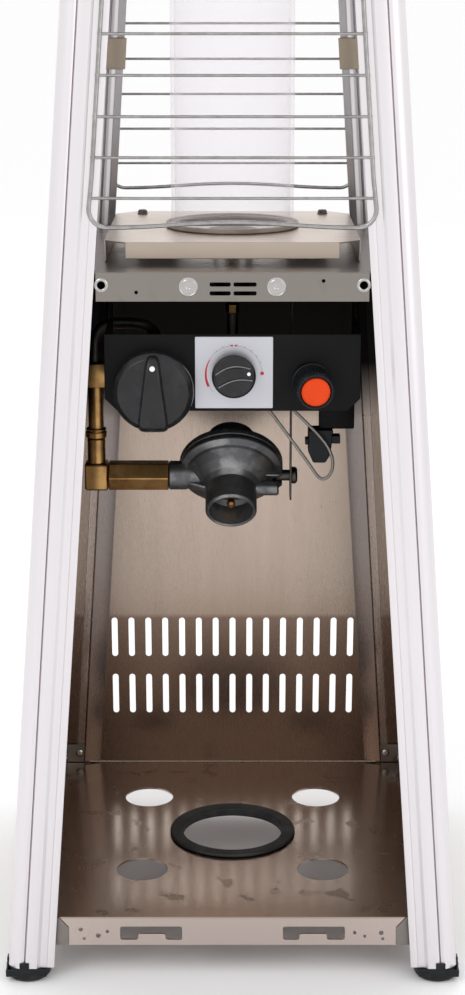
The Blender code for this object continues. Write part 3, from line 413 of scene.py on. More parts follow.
def printed_white():
    g = Graph("printed_white", (0.86, 0.87, 0.88), 0.45)
    wear = g.noise(g.place(), 700.0, 3.0)
    g.link("Roughness", 0.38 + wear * 0.15)
    g.tint(wear.above(0.62, 0.1) * 0.5, (0.55, 0.56, 0.58))
    return g.material


def printed_grey():
    g = Graph("printed_grey", (0.22, 0.22, 0.225), 0.45)
    wear = g.noise(g.place(), 500.0, 3.0)
    g.link("Roughness", 0.38 + wear * 0.15)
    g.tint(wear.above(0.5, 0.2) * 0.5, (0.10, 0.10, 0.105))
    return g.material


def orange_plastic():
    g = Graph("orange_button_plastic", (0.72, 0.062, 0.010), 0.38, Specular_IOR_Level=0.12)
    fine = g.noise(g.place(), 900.0, 2.0)
    cloud = g.noise(g.place(), 90.0, 3.0)
    g.link("Roughness", 0.34 + fine * 0.10)
    g.tint(cloud * 0.5, (0.64, 0.048, 0.008))
    g.bump(fine, 0.08, 0.00005)
    return g.material


def zinc_casting():
    """Dark grey casting with a fine orange-peel skin, brighter where it is rubbed."""
    g = Graph("zinc_casting", (0.155, 0.158, 0.165), 0.40, 0.9)
    skin = g.noise(g.place(), 420.0, 4.0, 0.6)
    patch = g.noise(g.place(), 55.0, 3.0)
    rubbed = patch.above(0.56, 0.16)
    g.tint(rubbed * 0.75, (0.36, 0.355, 0.35))
    g.link("Roughness", 0.46 - rubbed * 0.14 + skin * 0.08)
    g.bump(skin + patch * 1.5, 0.35, 0.00022)
    return g.material


def brass(name="machined_brass", bright=1.0):
    g = Graph(name, (0.47 * bright, 0.275 * bright, 0.105 * bright), 0.28, 1.0)
    tarnish = g.noise(g.place(), 70.0, 4.0, 0.6)
    tool = g.noise(g.place((900.0, 60.0, 60.0)), 1.0, 2.0)
    g.tint(tarnish.above(0.52, 0.22) * 0.8, (0.22 * bright, 0.115 * bright, 0.045 * bright))
    g.link("Roughness", 0.20 + tarnish * 0.20 + tool * 0.06)
    g.bump(tool + tarnish * 0.6, 0.15, 0.0001)
    return g.material


def black_rubber():
    g = Graph("black_rubber", (0.016, 0.016, 0.016), 0.62)
    skin = g.noise(g.place(), 500.0, 3.0)
    dust = g.noise(g.place(), 60.0, 4.0).above(0.55, 0.2)
    g.tint(dust * 0.5, (0.055, 0.052, 0.05))
    g.link("Roughness", 0.52 + skin * 0.2)
    g.bump(skin, 0.25, 0.00012)
    return g.material


def plated_wire():
    g = Graph("plated_wire", (0.42, 0.41, 0.40), 0.14, 1.0)
    cloud = g.noise(g.place(), 160.0, 3.0)
    g.tint(cloud.above(0.5, 0.3) * 0.5, (0.22, 0.215, 0.21))
    g.link("Roughness", 0.12 + cloud * 0.12)
    g.bump(cloud, 0.1, 0.00008)
    return g.material


def tube_glass():
    """Thin clear glass: see-through face on, and brighter towards its edges."""
    g = Graph("tube_glass", (0.93, 0.86, 0.93), 0.03, IOR=1.47)
    edge = g.add("ShaderNodeLayerWeight", {}, {"Blend": 0.25}, 1)
    haze = g.noise(g.place((1.0, 1.0, 0.3)), 14.0, 3.0)
    g.link("Alpha", (0.07 + edge * edge * 0.55 + haze * 0.04).clamped())
    g.link("Roughness", 0.02 + haze * 0.05)
    return g.material


def white_ceramic():
    g = Graph("fired_ceramic", (0.34, 0.29, 0.25), 0.52, Specular_IOR_Level=0.2)
    grain = g.noise(g.place(), 600.0, 3.0)
    soot = g.noise(g.place(), 40.0, 3.0).above(0.52, 0.2)
    g.tint(soot * 0.5, (0.16, 0.13, 0.11))
    g.link("Roughness", 0.44 + grain * 0.15)
    g.bump(grain, 0.2, 0.0001)
    return g.material


def lead_sleeve():
    g = Graph("metal_lead", (0.30, 0.285, 0.26), 0.40, 0.8)
    braid = g.add("ShaderNodeTexWave", {"wave_type": "BANDS", "bands_direction": "DIAGONAL"},
                  {"Vector": g.place(), "Scale": 500.0, "Distortion": 1.0})
    g.tint(braid * 0.5, (0.20, 0.18, 0.16))
    g.link("Roughness", 0.34 + braid * 0.12)
    g.bump(braid, 0.3, 0.0001)
    return g.material


def dial_face():
    """Silver face with printed marks round the knob: ticks, a widening band and coloured dots."""
    g = Graph("dial_face", (0.56, 0.56, 0.60), 0.36, 0.5, Specular_IOR_Level=0.2)
    centre = PIVOT["control_knob_turn"] * MM
    x, _, z = g.axes(g.place())
    dx, dz = x - centre.x, z - centre.z
    reach = (dx * dx + dz * dz) ** 0.5
    angle = g.add("ShaderNodeMath", {"operation": "ARCTAN2"}, (dz, dx)) / math.pi * 180.0
    turned = (angle + 360.0).math("MODULO", 360.0)
    red, grey = (0.50, 0.035, 0.045), (0.14, 0.14, 0.16)
    share = ((turned - 150.0) / 58.0).clamped()
    widening = reach.math("LESS_THAN", 0.0186 + share * 0.0012)
    band = reach.above(0.0180) * widening * turned.between(150.0, 208.0)
    ring = reach.between(0.0184, 0.0188) * (turned.below(150.0) + turned.between(208.0, 222.0)).clamped()
    ticks = (turned / 15.0).math("FRACT").between(0.46, 0.54) * reach.between(0.0184, 0.0196)
    ticks = (ticks * turned.between(20.0, 140.0) + ring * 0.6).clamped()
    marks = 0.0
    for degrees, size, where in ((0.0, 0.00125, 0.0187), (86.0, 0.0007, 0.0187), (94.0, 0.0007, 0.0187)):
        mx = dx - where * math.cos(math.radians(degrees))
        mz = dz - where * math.sin(math.radians(degrees))
        marks = (mx * mx + mz * mz).math("LESS_THAN", size * size) + marks
    face = g.mix(band, g.colour, red)
    face = g.mix(ticks * 0.8, face, grey)
    face = g.mix(marks.clamped(), face, red)
    g.link("Base Color", face)
    brush = g.noise(g.place((1500.0, 1.0, 20.0)), 1.0, 3.0)
    g.link("Roughness", 0.28 + brush * 0.12)
    g.bump(brush, 0.05, 0.00005)
    return g.material


def studio_floor():
    g = Graph("pale_floor", (0.93, 0.93, 0.935), 0.75)
    g.link("Roughness", 0.7 + g.noise(g.place(), 3.0, 2.0) * 0.1)
    return g.material


MATERIALS = {
    "post": post_aluminium(),
    "post_small": warm_stainless("post_fixings", (0.42, 0.41, 0.42), (300.0, 300.0, 300.0), 0.3),
    "panel": panel_steel(),
    "base": base_steel(),
    "sheet": warm_stainless("brushed_sheet", (0.27, 0.245, 0.225), (16.0, 1500.0, 1500.0), 0.30),
    "bright_sheet": warm_stainless("bright_sheet", (0.50, 0.48, 0.47), (300.0, 300.0, 300.0), 0.20),
    "clip": warm_stainless("clip_sheet", (0.36, 0.30, 0.235), (40.0, 40.0, 900.0), 0.34),
    "hood": warm_stainless("hood_stainless", (0.70, 0.68, 0.66), (14.0, 1300.0, 500.0), 0.24),
    "deck": deck_steel(),
    "hot": hot_steel(),
    "paint": black_paint(),
    "plastic": black_plastic(),
    "knob": knob_plastic(),
    "print": printed_white(),
    "line": printed_grey(),
    "orange": orange_plastic(),
    "zinc": zinc_casting(),
    "brass": brass(),
    "bright_brass": brass("polished_brass", 1.15),
    "rubber": black_rubber(),
    "wire": plated_wire(),
    "glass": tube_glass(),
    "ceramic": white_ceramic(),
    "lead": lead_sleeve(),
    "dial": dial_face(),
    "floor": studio_floor(),
}


# ---- drawing meshes, in millimetres --------------------------------------------------------------
def circle(x, y, radius, steps=48):
    turns = [2 * math.pi * i / steps for i in range(steps)]
    return [(x + radius * math.cos(t), y + radius * math.sin(t)) for t in turns]


def arc(x, y, radius, start, end, steps):
    turns = [math.radians(start + (end - start) * i / steps) for i in range(steps + 1)]
    return [(x + radius * math.cos(t), y + radius * math.sin(t)) for t in turns]


def rectangle(left, right, low, high):
    return [(left, low), (right, low), (right, high), (left, high)]


def slot_shape(x, low, high, width):
    """An upright slot with round ends."""
    r = width / 2
    return arc(x, high - r, r, 0, 180, 10) + arc(x, low + r, r, 180, 360, 10)


def eased(points, radius, steps=3, closed=True):
    """Round the corners of an outline or of an open profile."""
    made = []
    for i, point in enumerate(points):
        here = Vector(point)
        if not closed and i in (0, len(points) - 1):
            made.append(tuple(here))
            continue
        back = Vector(points[i - 1]) - here
        ahead = Vector(points[(i + 1) % len(points)]) - here
        bend = back.angle(ahead, math.pi)
        if bend > 3.05 or radius <= 0:
            made.append(tuple(here))
            continue
        reach = min(radius / math.tan(bend / 2), back.length * 0.48, ahead.length * 0.48)
        round_off = reach * math.tan(bend / 2)
        middle = (back.normalized() + ahead.normalized()).normalized()
        centre = here + middle * (round_off / math.sin(bend / 2))
        first = here + back.normalized() * reach - centre
        last = here + ahead.normalized() * reach - centre
        start = math.atan2(first.y, first.x)
        sweep = (math.atan2(last.y, last.x) - start + math.pi) % (2 * math.pi) - math.pi
        for step in range(steps + 1):
            t = start + sweep * step / steps
            made.append((centre.x + round_off * math.cos(t), centre.y + round_off * math.sin(t)))
    return made


def grown(loop, distance):
    """A closed loop moved outward by a distance, or inward by a negative one."""
    area = sum(x0 * y1 - x1 * y0 for (x0, y0), (x1, y1) in zip(loop, loop[1:] + loop[:1]))
    sign = 1 if area > 0 else -1
    made = []
    for i, point in enumerate(loop):
        ahead = (Vector(loop[(i + 1) % len(loop)]) - Vector(point)).normalized()
        behind = (Vector(point) - Vector(loop[i - 1])).normalized()
        out = Vector((ahead.y + behind.y, -ahead.x - behind.x)) / max(1 + ahead.dot(behind), 0.4)
        made.append((point[0] + sign * distance * out.x, point[1] + sign * distance * out.y))
    return made


def filled(outline, holes):
    """Triangulate a flat outline with holes: its points, triangles and loops of points."""
    flat = bmesh.new()
    loops = []
    for loop in (outline, *holes):
        verts = [flat.verts.new((a, b, 0)) for a, b in loop]
        for start, end in zip(verts, verts[1:] + verts[:1]):
            flat.edges.new((start, end))
        loops.append(verts)
    bmesh.ops.triangle_fill(flat, use_beauty=True, edges=flat.edges[:])
    flat.verts.index_update()
    points = [(v.co.x, v.co.y) for v in flat.verts]
    triangles = [[v.index for v in face.verts] for face in flat.faces]
    rings = [[v.index for v in loop] for loop in loops]
    flat.free()
    return points, triangles, rings


def add_prism(bm, outline, holes, place, near, far, ease=0.0):
    """Add a solid between two depths of a flat shape; its rims are chamfered by ease."""
    step = ease if far > near else -ease
    loops = [outline, *holes]
    small = [grown(loop, -ease if i == 0 else ease) for i, loop in enumerate(loops)]
    points, triangles, rings = filled(small[0], small[1:])
    first, last = [[bm.verts.new(place(a, b, depth)) for a, b in points] for depth in (near, far)]
    for corners in triangles:
        bm.faces.new([first[i] for i in corners])
        bm.faces.new([last[i] for i in reversed(corners)])
    for loop, ring in zip(loops, rings):
        rows = [[first[i] for i in ring]]
        if ease:
            for depth in (near + step, far - step):
                rows.append([bm.verts.new(place(a, b, depth)) for a, b in loop])
        rows.append([last[i] for i in ring])
        for row, above in zip(rows, rows[1:]):
            for i in range(len(ring)):
                j = (i + 1) % len(ring)
                bm.faces.new((row[i], row[j], above[j], above[i]))
    return bm


def add_lathe(bm, profile, steps=64, turn=None, ring=False):
    """Add a profile of (radius, z) points spun about Z. A ring's profile is a closed loop."""
    old = set(bm.verts)
    verts = [bm.verts.new((radius, 0, z)) for radius, z in profile]
    edges = [bm.edges.new(pair) for pair in zip(verts, verts[1:])]
    if ring:
        edges.append(bm.edges.new((verts[-1], verts[0])))
    bmesh.ops.spin(bm, geom=verts + edges, cent=(0, 0, 0), axis=(0, 0, 1), angle=2 * math.pi, steps=steps,
                   use_merge=True)
    bmesh.ops.remove_doubles(bm, verts=[v for v in bm.verts if v not in old], dist=0.001)
    if turn:
        bmesh.ops.transform(bm, matrix=turn, verts=[v for v in bm.verts if v not in old])
    return bm


def add_block(bm, low, high):
    """Add a box from its lowest to its highest corner."""
    size = Vector(high) - Vector(low)
    verts = bmesh.ops.create_cube(bm, size=1)["verts"]
    bmesh.ops.scale(bm, vec=size, verts=verts)
    bmesh.ops.translate(bm, vec=Vector(low) + size / 2, verts=verts)
    return bm


def add_wire(bm, path, radius, sides=12):
    """Add a round wire along a path of points, with closed ends."""
    points = [Vector(p) for p in path]
    side = (points[1] - points[0]).orthogonal().normalized()
    rows = []
    for i, point in enumerate(points):
        along = (points[min(i + 1, len(points) - 1)] - points[max(i - 1, 0)]).normalized()
        side = (side - along * side.dot(along)).normalized()
        other = along.cross(side)
        turns = [2 * math.pi * k / sides for k in range(sides)]
        rows.append([bm.verts.new(point + (side * math.cos(t) + other * math.sin(t)) * radius)
                     for t in turns])
    for row, above in zip(rows, rows[1:]):
        for k in range(sides):
            bm.faces.new((row[k], row[(k + 1) % sides], above[(k + 1) % sides], above[k]))
    bm.faces.new(list(reversed(rows[0])))
    bm.faces.new(rows[-1])
    return bm


def make_piece(name, bm, finish, replaces=(), body=BODY, bevel=0.0, sharp=35, segments=3):
    """Make one finished piece of a mesh drawn in millimetres, riding on a body."""
    bmesh.ops.scale(bm, vec=(MM, MM, MM), verts=bm.verts)
    bmesh.ops.recalc_face_normals(bm, faces=bm.faces)
    mesh = bpy.data.meshes.new(name)
    bm.to_mesh(mesh)
    bm.free()
    return dress(name, mesh, finish, replaces, body, bevel, sharp, segments)


def dress(name, mesh, finish, replaces=(), body=BODY, bevel=0.0, sharp=35, segments=3):
    mesh.materials.clear()
    mesh.materials.append(MATERIALS[finish])
    mesh.shade_smooth()
    mesh.set_sharp_from_angle(angle=math.radians(sharp))
    piece = bpy.data.objects.new(name, mesh)
    bpy.context.scene.collection.objects.link(piece)
    if bevel:
        ease = piece.modifiers.new("eased edges", "BEVEL")
        ease.width = bevel * MM
        ease.segments = segments
        ease.limit_method = "ANGLE"
        ease.angle_limit = math.radians(30)
        ease.harden_normals = True
    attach(piece, body)
    if replaces:
        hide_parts(*([replaces] if isinstance(replaces, str) else replaces))
    return piece


def plain_mesh(piece):
    """The evaluated mesh of an object, which is removed."""
    depsgraph = bpy.context.evaluated_depsgraph_get()
    mesh = bpy.data.meshes.new_from_object(piece.evaluated_get(depsgraph), depsgraph=depsgraph)
    bpy.data.objects.remove(piece)
    return mesh


def refine(node, finish, bevel=0.4, sharp=35, body=BODY):
    """A finished copy of a CAD node, its flat faces made whole and its edges eased."""
    bm = bmesh.new()
    bm.from_mesh(frame["nodes"][node].data)
    bmesh.ops.remove_doubles(bm, verts=bm.verts, dist=1e-6)
    bmesh.ops.dissolve_limit(bm, angle_limit=math.radians(0.6), verts=bm.verts, edges=bm.edges)
    bmesh.ops.scale(bm, vec=(1 / MM,) * 3, verts=bm.verts)
    return make_piece(node + "_finished", bm, finish, node, body, bevel, sharp)


def folded(name, flats, thickness, finish, replaces=(), bevel=0.55):
    """A folded sheet. Each flat is (outline, holes, place(a, b)) on the sheet's middle surface."""
    bm = bmesh.new()
    for outline, holes, place in flats:
        points, triangles, _ = filled(outline, holes)
        verts = [bm.verts.new(place(a, b)) for a, b in points]
        for corners in triangles:
            bm.faces.new([verts[i] for i in corners])
    bmesh.ops.remove_doubles(bm, verts=bm.verts, dist=0.01)
    piece = make_piece(name, bm, finish, replaces)
    wall = piece.modifiers.new("sheet thickness", "SOLIDIFY")
    wall.thickness = thickness * MM
    wall.offset = 0.0
    wall.use_even_offset = True
    ease = piece.modifiers.new("eased edges", "BEVEL")
    ease.width = bevel * MM
    ease.segments = 3
    ease.limit_method = "ANGLE"
    ease.angle_limit = math.radians(30)
    ease.harden_normals = True
    return piece


def side_turn(side):
    return Matrix.Rotation(math.radians(90 * side), 3, "Z")


def on_side(side, inset):
    """Places (a, z, depth) on a leaning side: a along it, depth inward from the inset plane."""
    turn = side_turn(side)
    return lambda a, z, depth=0.0: turn @ Vector((a, -(half_width(z) - inset - depth), z))


def upright(side, distance):
    turn = side_turn(side)
    return lambda a, z: turn @ Vector((a, -distance, z))


def level(z):
    return lambda x, y: (x, y, z)


def along_x(x=0.0, y=0.0, z=0.0):
    """Turns a piece spun about Z so that its +Z points along +X, and moves it."""
    return Matrix.Translation((x, y, z)) @ Matrix.Rotation(math.radians(90), 4, "Y")


def facing_front(x, y, z):
    """Turns a piece spun about Z so that its +Z points to the front, and moves it."""
    return Matrix.Translation((x, y, z)) @ Matrix.Rotation(math.radians(90), 4, "X")


def joint_place(joint):
    """The axis of a joint as a matrix whose +Z points along it and +Y stays up."""
    return Matrix.Translation(PIVOT[joint]) @ AXIS[joint].to_track_quat("Z", "Y").to_matrix().to_4x4()


# ---- geometry nodes ------------------------------------------------------------------------------
class Tree(Graph):
    """A geometry node tree with named inputs for its sizes."""

    def __init__(self, name, sizes):
        self.tree = bpy.data.node_groups.new(name, "GeometryNodeTree")
        face = self.tree.interface
        face.new_socket("Geometry", in_out="OUTPUT", socket_type="NodeSocketGeometry")
        face.new_socket("Geometry", in_out="INPUT", socket_type="NodeSocketGeometry")
        self.keys = {key: face.new_socket(key, in_out="INPUT", socket_type=kind).identifier
                     for key, kind in sizes.items()}
        entry = self.tree.nodes.new("NodeGroupInput")
        self.given = {out.name: Sum(self, out) for out in entry.outputs if out.name}
        self.end = self.tree.nodes.new("NodeGroupOutput")

    def finish(self, geometry):
        """End in Realize Instances and Set Material."""
        whole = self.add("GeometryNodeRealizeInstances", {}, {"Geometry": geometry})
        painted = self.add("GeometryNodeSetMaterial", {},
                           {"Geometry": whole, "Material": self.given["Material"]})
        self.tree.links.new(painted.socket, self.end.inputs[0])

    def grow(self, name, finish, mesh=None, **sizes):
        """Run the tree on a mesh with these sizes and return the plain mesh that it makes."""
        carrier = bpy.data.objects.new(name, mesh or bpy.data.meshes.new(name))
        bpy.context.scene.collection.objects.link(carrier)
        step = carrier.modifiers.new(name, "NODES")
        step.node_group = self.tree
        for key, value in {**sizes, "Material": MATERIALS[finish]}.items():
            step[self.keys[key.replace("_", " ")]] = value
        return plain_mesh(carrier)


def scatter_tree():
    """One small piece on each point, turned and sized by the point's own attributes."""
    t = Tree("small_pieces_on_points", {"Piece": "NodeSocketObject", "Material": "NodeSocketMaterial",
                                        "Size": "NodeSocketFloat"})
    piece = t.add("GeometryNodeObjectInfo", {"transform_space": "ORIGINAL"}, {"Object": t.given["Piece"]}, 4)
    turn = t.add("GeometryNodeInputNamedAttribute", {"data_type": "FLOAT_VECTOR"}, {"Name": "turn"})
    turn = t.add("FunctionNodeEulerToRotation", {}, (turn,))
    size = t.add("GeometryNodeInputNamedAttribute", {"data_type": "FLOAT"}, {"Name": "size"})
    placed = t.add("GeometryNodeInstanceOnPoints", {}, {"Points": t.given["Geometry"], "Instance": piece,
                                                        "Rotation": turn, "Scale": size * t.given["Size"]})
    t.finish(placed)
    return t


def ring_tree():
    """A piece repeated evenly round a circle about Z, each turned to face outward."""
    t = Tree("pieces_round_a_circle", {"Piece": "NodeSocketObject", "Material": "NodeSocketMaterial",
                                       "Count": "NodeSocketInt", "Radius": "NodeSocketFloat"})
    piece = t.add("GeometryNodeObjectInfo", {"transform_space": "ORIGINAL"}, {"Object": t.given["Piece"]}, 4)
    index = t.add("GeometryNodeInputIndex")
    angle = index * (2 * math.pi) / t.given["Count"]
    spot = t.add("ShaderNodeCombineXYZ", {}, {"X": angle.math("COSINE") * t.given["Radius"],
                                              "Y": angle.math("SINE") * t.given["Radius"]})
    points = t.add("GeometryNodePoints", {}, {"Count": t.given["Count"], "Position": spot})
    turn = t.add("ShaderNodeCombineXYZ", {}, {"Z": angle})
    turn = t.add("FunctionNodeEulerToRotation", {}, (turn,))
    t.finish(t.add("GeometryNodeInstanceOnPoints", {},
                   {"Points": points, "Instance": piece, "Rotation": turn}))
    return t


def wire_tree():
    """Level wires at an even pitch, each as long as the leaning guard is wide at its height."""
    t = Tree("level_guard_wires", {"Count": "NodeSocketInt", "First": "NodeSocketFloat",
                                   "Pitch": "NodeSocketFloat", "Radius": "NodeSocketFloat",
                                   "Half width": "NodeSocketFloat", "Lean": "NodeSocketFloat",
                                   "Set back": "NodeSocketFloat", "Material": "NodeSocketMaterial"})
    height = t.given["First"] + t.given["Pitch"] * t.add("GeometryNodeInputIndex")
    reach = t.given["Half width"] - height * t.given["Lean"]
    spot = t.add("ShaderNodeCombineXYZ", {}, {"Y": t.given["Set back"] - reach, "Z": height})
    points = t.add("GeometryNodePoints", {}, {"Count": t.given["Count"], "Position": spot})
    line = t.add("GeometryNodeCurvePrimitiveLine", {}, {"Start": (-1, 0, 0), "End": (1, 0, 0)})
    profile = t.add("GeometryNodeCurvePrimitiveCircle", {}, {"Resolution": 12, "Radius": t.given["Radius"]})
    wire = t.add("GeometryNodeCurveToMesh", {}, {"Curve": line, "Profile Curve": profile, "Fill Caps": True})
    scale = t.add("ShaderNodeCombineXYZ", {}, {"X": reach, "Y": 1.0, "Z": 1.0})
    t.finish(t.add("GeometryNodeInstanceOnPoints", {}, {"Points": points, "Instance": wire, "Scale": scale}))
    return t


SCATTER, RING, WIRES = scatter_tree(), ring_tree(), wire_tree()


def prototype(name, bm):
    """A small shape for a node tree to repeat, in millimetres; it is removed when it has been used."""
    bmesh.ops.recalc_face_normals(bm, faces=bm.faces)
    bmesh.ops.scale(bm, vec=(MM, MM, MM), verts=bm.verts)
    mesh = bpy.data.meshes.new(name)
    bm.to_mesh(mesh)
    bm.free()
    shape = bpy.data.objects.new(name, mesh)
    bpy.context.scene.collection.objects.link(shape)
    return shape


def scatter(name, shape, places, finish, body=BODY, replaces=(), sharp=35):
    """Repeat a shape at places: each is a point, the direction its +Z faces, and a size."""
    mesh = bpy.data.meshes.new(name)
    mesh.from_pydata([Vector(point) * MM for point, _, _ in places], [], [])
    mesh.attributes.new("turn", "FLOAT_VECTOR", "POINT")
    mesh.attributes.new("size", "FLOAT", "POINT")
    turns, sizes = mesh.attributes["turn"], mesh.attributes["size"]
    for i, (_, facing, size) in enumerate(places):
        turns.data[i].vector = Vector(facing).to_track_quat("Z", "Y").to_euler()
        sizes.data[i].value = size
    grown_mesh = SCATTER.grow(name, finish, mesh, Piece=shape, Size=1.0)
    bpy.data.objects.remove(shape)
    return dress(name, grown_mesh, finish, replaces, body, sharp=sharp)


def ring_of(name, shape, count, radius, finish, place, body=BODY, sharp=35):
    """Repeat a shape round a circle and set the ring at a place."""
    mesh = RING.grow(name, finish, None, Piece=shape, Count=count, Radius=radius * MM)
    bpy.data.objects.remove(shape)
    mesh.transform(Matrix.Diagonal((MM, MM, MM, 1)) @ place @ Matrix.Diagonal((1 / MM,) * 3 + (1,)))
    return dress(name, mesh, finish, (), body, sharp=sharp)


# ---- frame: posts, feet, base ------------------------------------------------------------------
def post_outline():
    """The outer line of a post: flange, step, band, groove and corner bead, the same on both faces."""
    near, far = POST_CORNER + 0.4, POST_CORNER + 2.0
    face = [(POST_LEG, FLANGE_STEP), (26.2, FLANGE_STEP), (25.8, FLANGE_STEP + 0.5), (25.4, FLANGE_STEP),
            (20.7, FLANGE_STEP), (18.7, 0.0), (far + 0.5, 0.0), (far, 1.6), (near, 1.6)]
    bead = arc(POST_CORNER, POST_CORNER, POST_CORNER, -90, -180, 14)
    return face + bead + [(b, a) for a, b in reversed(face)]


def make_post(corner, sx, sy):
    face = post_outline()
    path = [Vector(p) for p in face]
    normals = []
    for i in range(len(path)):
        along = (path[min(i + 1, len(path) - 1)] - path[max(i - 1, 0)]).normalized()
        normals.append(Vector((along.y, -along.x)))
    back = [tuple(p - n * POST_WALL) for p, n in zip(path, normals)]
    loop = eased(face + list(reversed(back)), 0.28, 2)
    runs = [0.0]
    for start, end in zip(loop, loop[1:] + loop[:1]):
        runs.append(runs[-1] + (Vector(end) - Vector(start)).length)
    bm = bmesh.new()
    rows = []
    heights = [POST_LOW.z, POST_LOW.z + 40, 250, 450, 650, POST_TOP - 10, POST_TOP]
    for z in heights:
        half = half_width(z)
        rows.append([bm.verts.new((sx * (half - a), sy * (half - b), z)) for a, b in loop])
    count = len(loop)
    run = bm.loops.layers.uv.new("run")
    for row, above, low, high in zip(rows, rows[1:], heights, heights[1:]):
        for i in range(count):
            j = (i + 1) % count
            side = bm.faces.new((row[i], row[j], above[j], above[i]))
            spots = ((runs[i], low), (runs[i + 1], low), (runs[i + 1], high), (runs[i], high))
            for corner_loop, (u, v) in zip(side.loops, spots):
                corner_loop[run].uv = (u * MM, v * MM)
    _, triangles, _ = filled(loop, [])
    for row in (rows[0], rows[-1]):
        for corners in triangles:
            bm.faces.new([row[i] for i in corners])
    make_piece("post_" + corner + "_extrusion", bm, "post", "post_" + corner, sharp=28)


def make_foot(corner, sx, sy):
    """A moulded cap with a rounded sole and two prongs up the post's outer faces."""
    x, y = sx * (BASE_HALF - 13.0), sy * (BASE_HALF - 13.0)
    height = FOOT_HIGH.z - 9.0
    bm = bmesh.new()
    sole = eased([(0, 0), (13.4, 0), (15.5, 2.4), (15.5, height - 2.2), (14.4, height - 0.1), (6.5, height),
                  (5.5, height + 8.9), (0, height + 8.9)], 0.9, 4, closed=False)
    add_lathe(bm, sole, 56, Matrix.Translation((x, y, 0)))
    skirt = eased([(-1.5, 8.6), (-1.5, -1.5), (8.6, -1.5), (26.5, -1.4), (26.5, -0.15), (8.6, -0.15),
                   (-0.15, -0.15), (-0.15, 8.6), (-0.15, 26.5), (-1.4, 26.5)], 0.5, 3)
    add_prism(bm, skirt, [], lambda a, b, z: (sx * (BASE_HALF - a), sy * (BASE_HALF - b), z),
              4.0, height - 0.3, 0.4)
    for flip in (False, True):
        prong = eased([(-1.5, 8.0), (-0.15, 8.0), (-0.15, 14.5), (-1.5, 14.5)], 0.4, 2)
        shape = [(b, a) for a, b in prong] if flip else prong
        add_prism(bm, shape, [], lambda a, b, z: (sx * (BASE_HALF - a), sy * (BASE_HALF - b), z),
                  height - 1.0, height + 4.5, 0.4)
    make_piece("foot_cap_" + corner + "_moulding", bm, "plastic", "foot_cap_" + corner)


def hook_slot(sign):
    """A slot in the front lip with a tab standing up in it."""
    shape = [(35.0, 25.0), (46.5, 25.0), (46.5, 29.4), (65.5, 29.4), (65.5, 25.0), (78.0, 25.0), (78.0, 35.0),
             (35.0, 35.0)]
    return eased([(sign * x, z) for x, z in shape], 1.6, 4)


LIP_DIMPLES = ((-105.3, 32.7, 1.5), (-103.0, 25.9, 1.1), (-93.2, 28.1, 1.7), (-86.9, 31.2, 1.2),
               (84.8, 30.3, 1.3), (91.8, 27.6, 1.1), (103.3, 30.3, 1.6), (104.4, 25.7, 1.1))


def make_base_plate():
    half = BASE_HIGH.x - SHEET / 2
    top = BASE_HIGH.z - SHEET / 2
    vents = [circle(x, y, 18.7, 56) for x in (-65.8, 65.8) for y in (-65.8, 65.8)]
    flats = [(rectangle(-half, half, -half, half), [circle(0, 0, 41.0, 96)] + vents, level(top))]
    lip = rectangle(-half, half, BASE_LOW.z, top)
    for side in range(4):
        holes = [hook_slot(-1), hook_slot(1)] if side == FRONT else []
        if side == FRONT:
            holes += [circle(x, z, r, 16) for x, z, r in LIP_DIMPLES]
        flats.append((lip, holes, upright(side, half)))
    folded("base_plate_sheet", flats, SHEET, "base", "base_plate")
    low, high = EDGE_LOW.z, EDGE_HIGH.z
    outer, inner, throat = EDGE_HIGH.x, 37.2, 40.7
    bead = eased([(inner, low + 1), (inner + 1.5, low), (outer, low + 0.5), (outer, low + 2.5),
                  (throat, low + 2.5),
                  (throat, BASE_HIGH.z + GAP), (outer, BASE_HIGH.z + GAP), (outer - 1, high),
                  (inner + 1.5, high), (inner, high - 1.6)], 1.0, 4)
    bm = bmesh.new()
    add_lathe(bm, bead, 96, ring=True)
    make_piece("base_hole_edging_rubber", bm, "rubber", "base_hole_edging")
    for corner in CORNERS:
        refine("base_bracket_" + corner, "sheet", 0.35)


def screw_head():
    """A low round head with a cross recess."""
    bm = bmesh.new()
    profile = eased([(0, 1.5), (2.0, 1.35), (3.0, 0.8), (3.4, 0), (0, 0)], 0.5, 3, closed=False)
    add_lathe(bm, profile, 24)
    cross = [(0.4, 0.4), (0.4, 1.7), (-0.4, 1.7), (-0.4, 0.4), (-1.7, 0.4), (-1.7, -0.4), (-0.4, -0.4),
             (-0.4, -1.7), (0.4, -1.7), (0.4, -0.4), (1.7, -0.4), (1.7, 0.4)]
    head = prototype("screw_head", bm)
    cutter_mesh = bmesh.new()
    add_prism(cutter_mesh, cross, [], lambda a, b, z: (a, b, z), 0.7, 3.0)
    cutter = prototype("cross_recess", cutter_mesh)
    step = head.modifiers.new("recess", "BOOLEAN")
    step.operation, step.object = "DIFFERENCE", cutter
    depsgraph = bpy.context.evaluated_depsgraph_get()
    mesh = bpy.data.meshes.new_from_object(head.evaluated_get(depsgraph), depsgraph=depsgraph)
    head.modifiers.clear()
    head.data = mesh
    bpy.data.objects.remove(cutter)
    return head


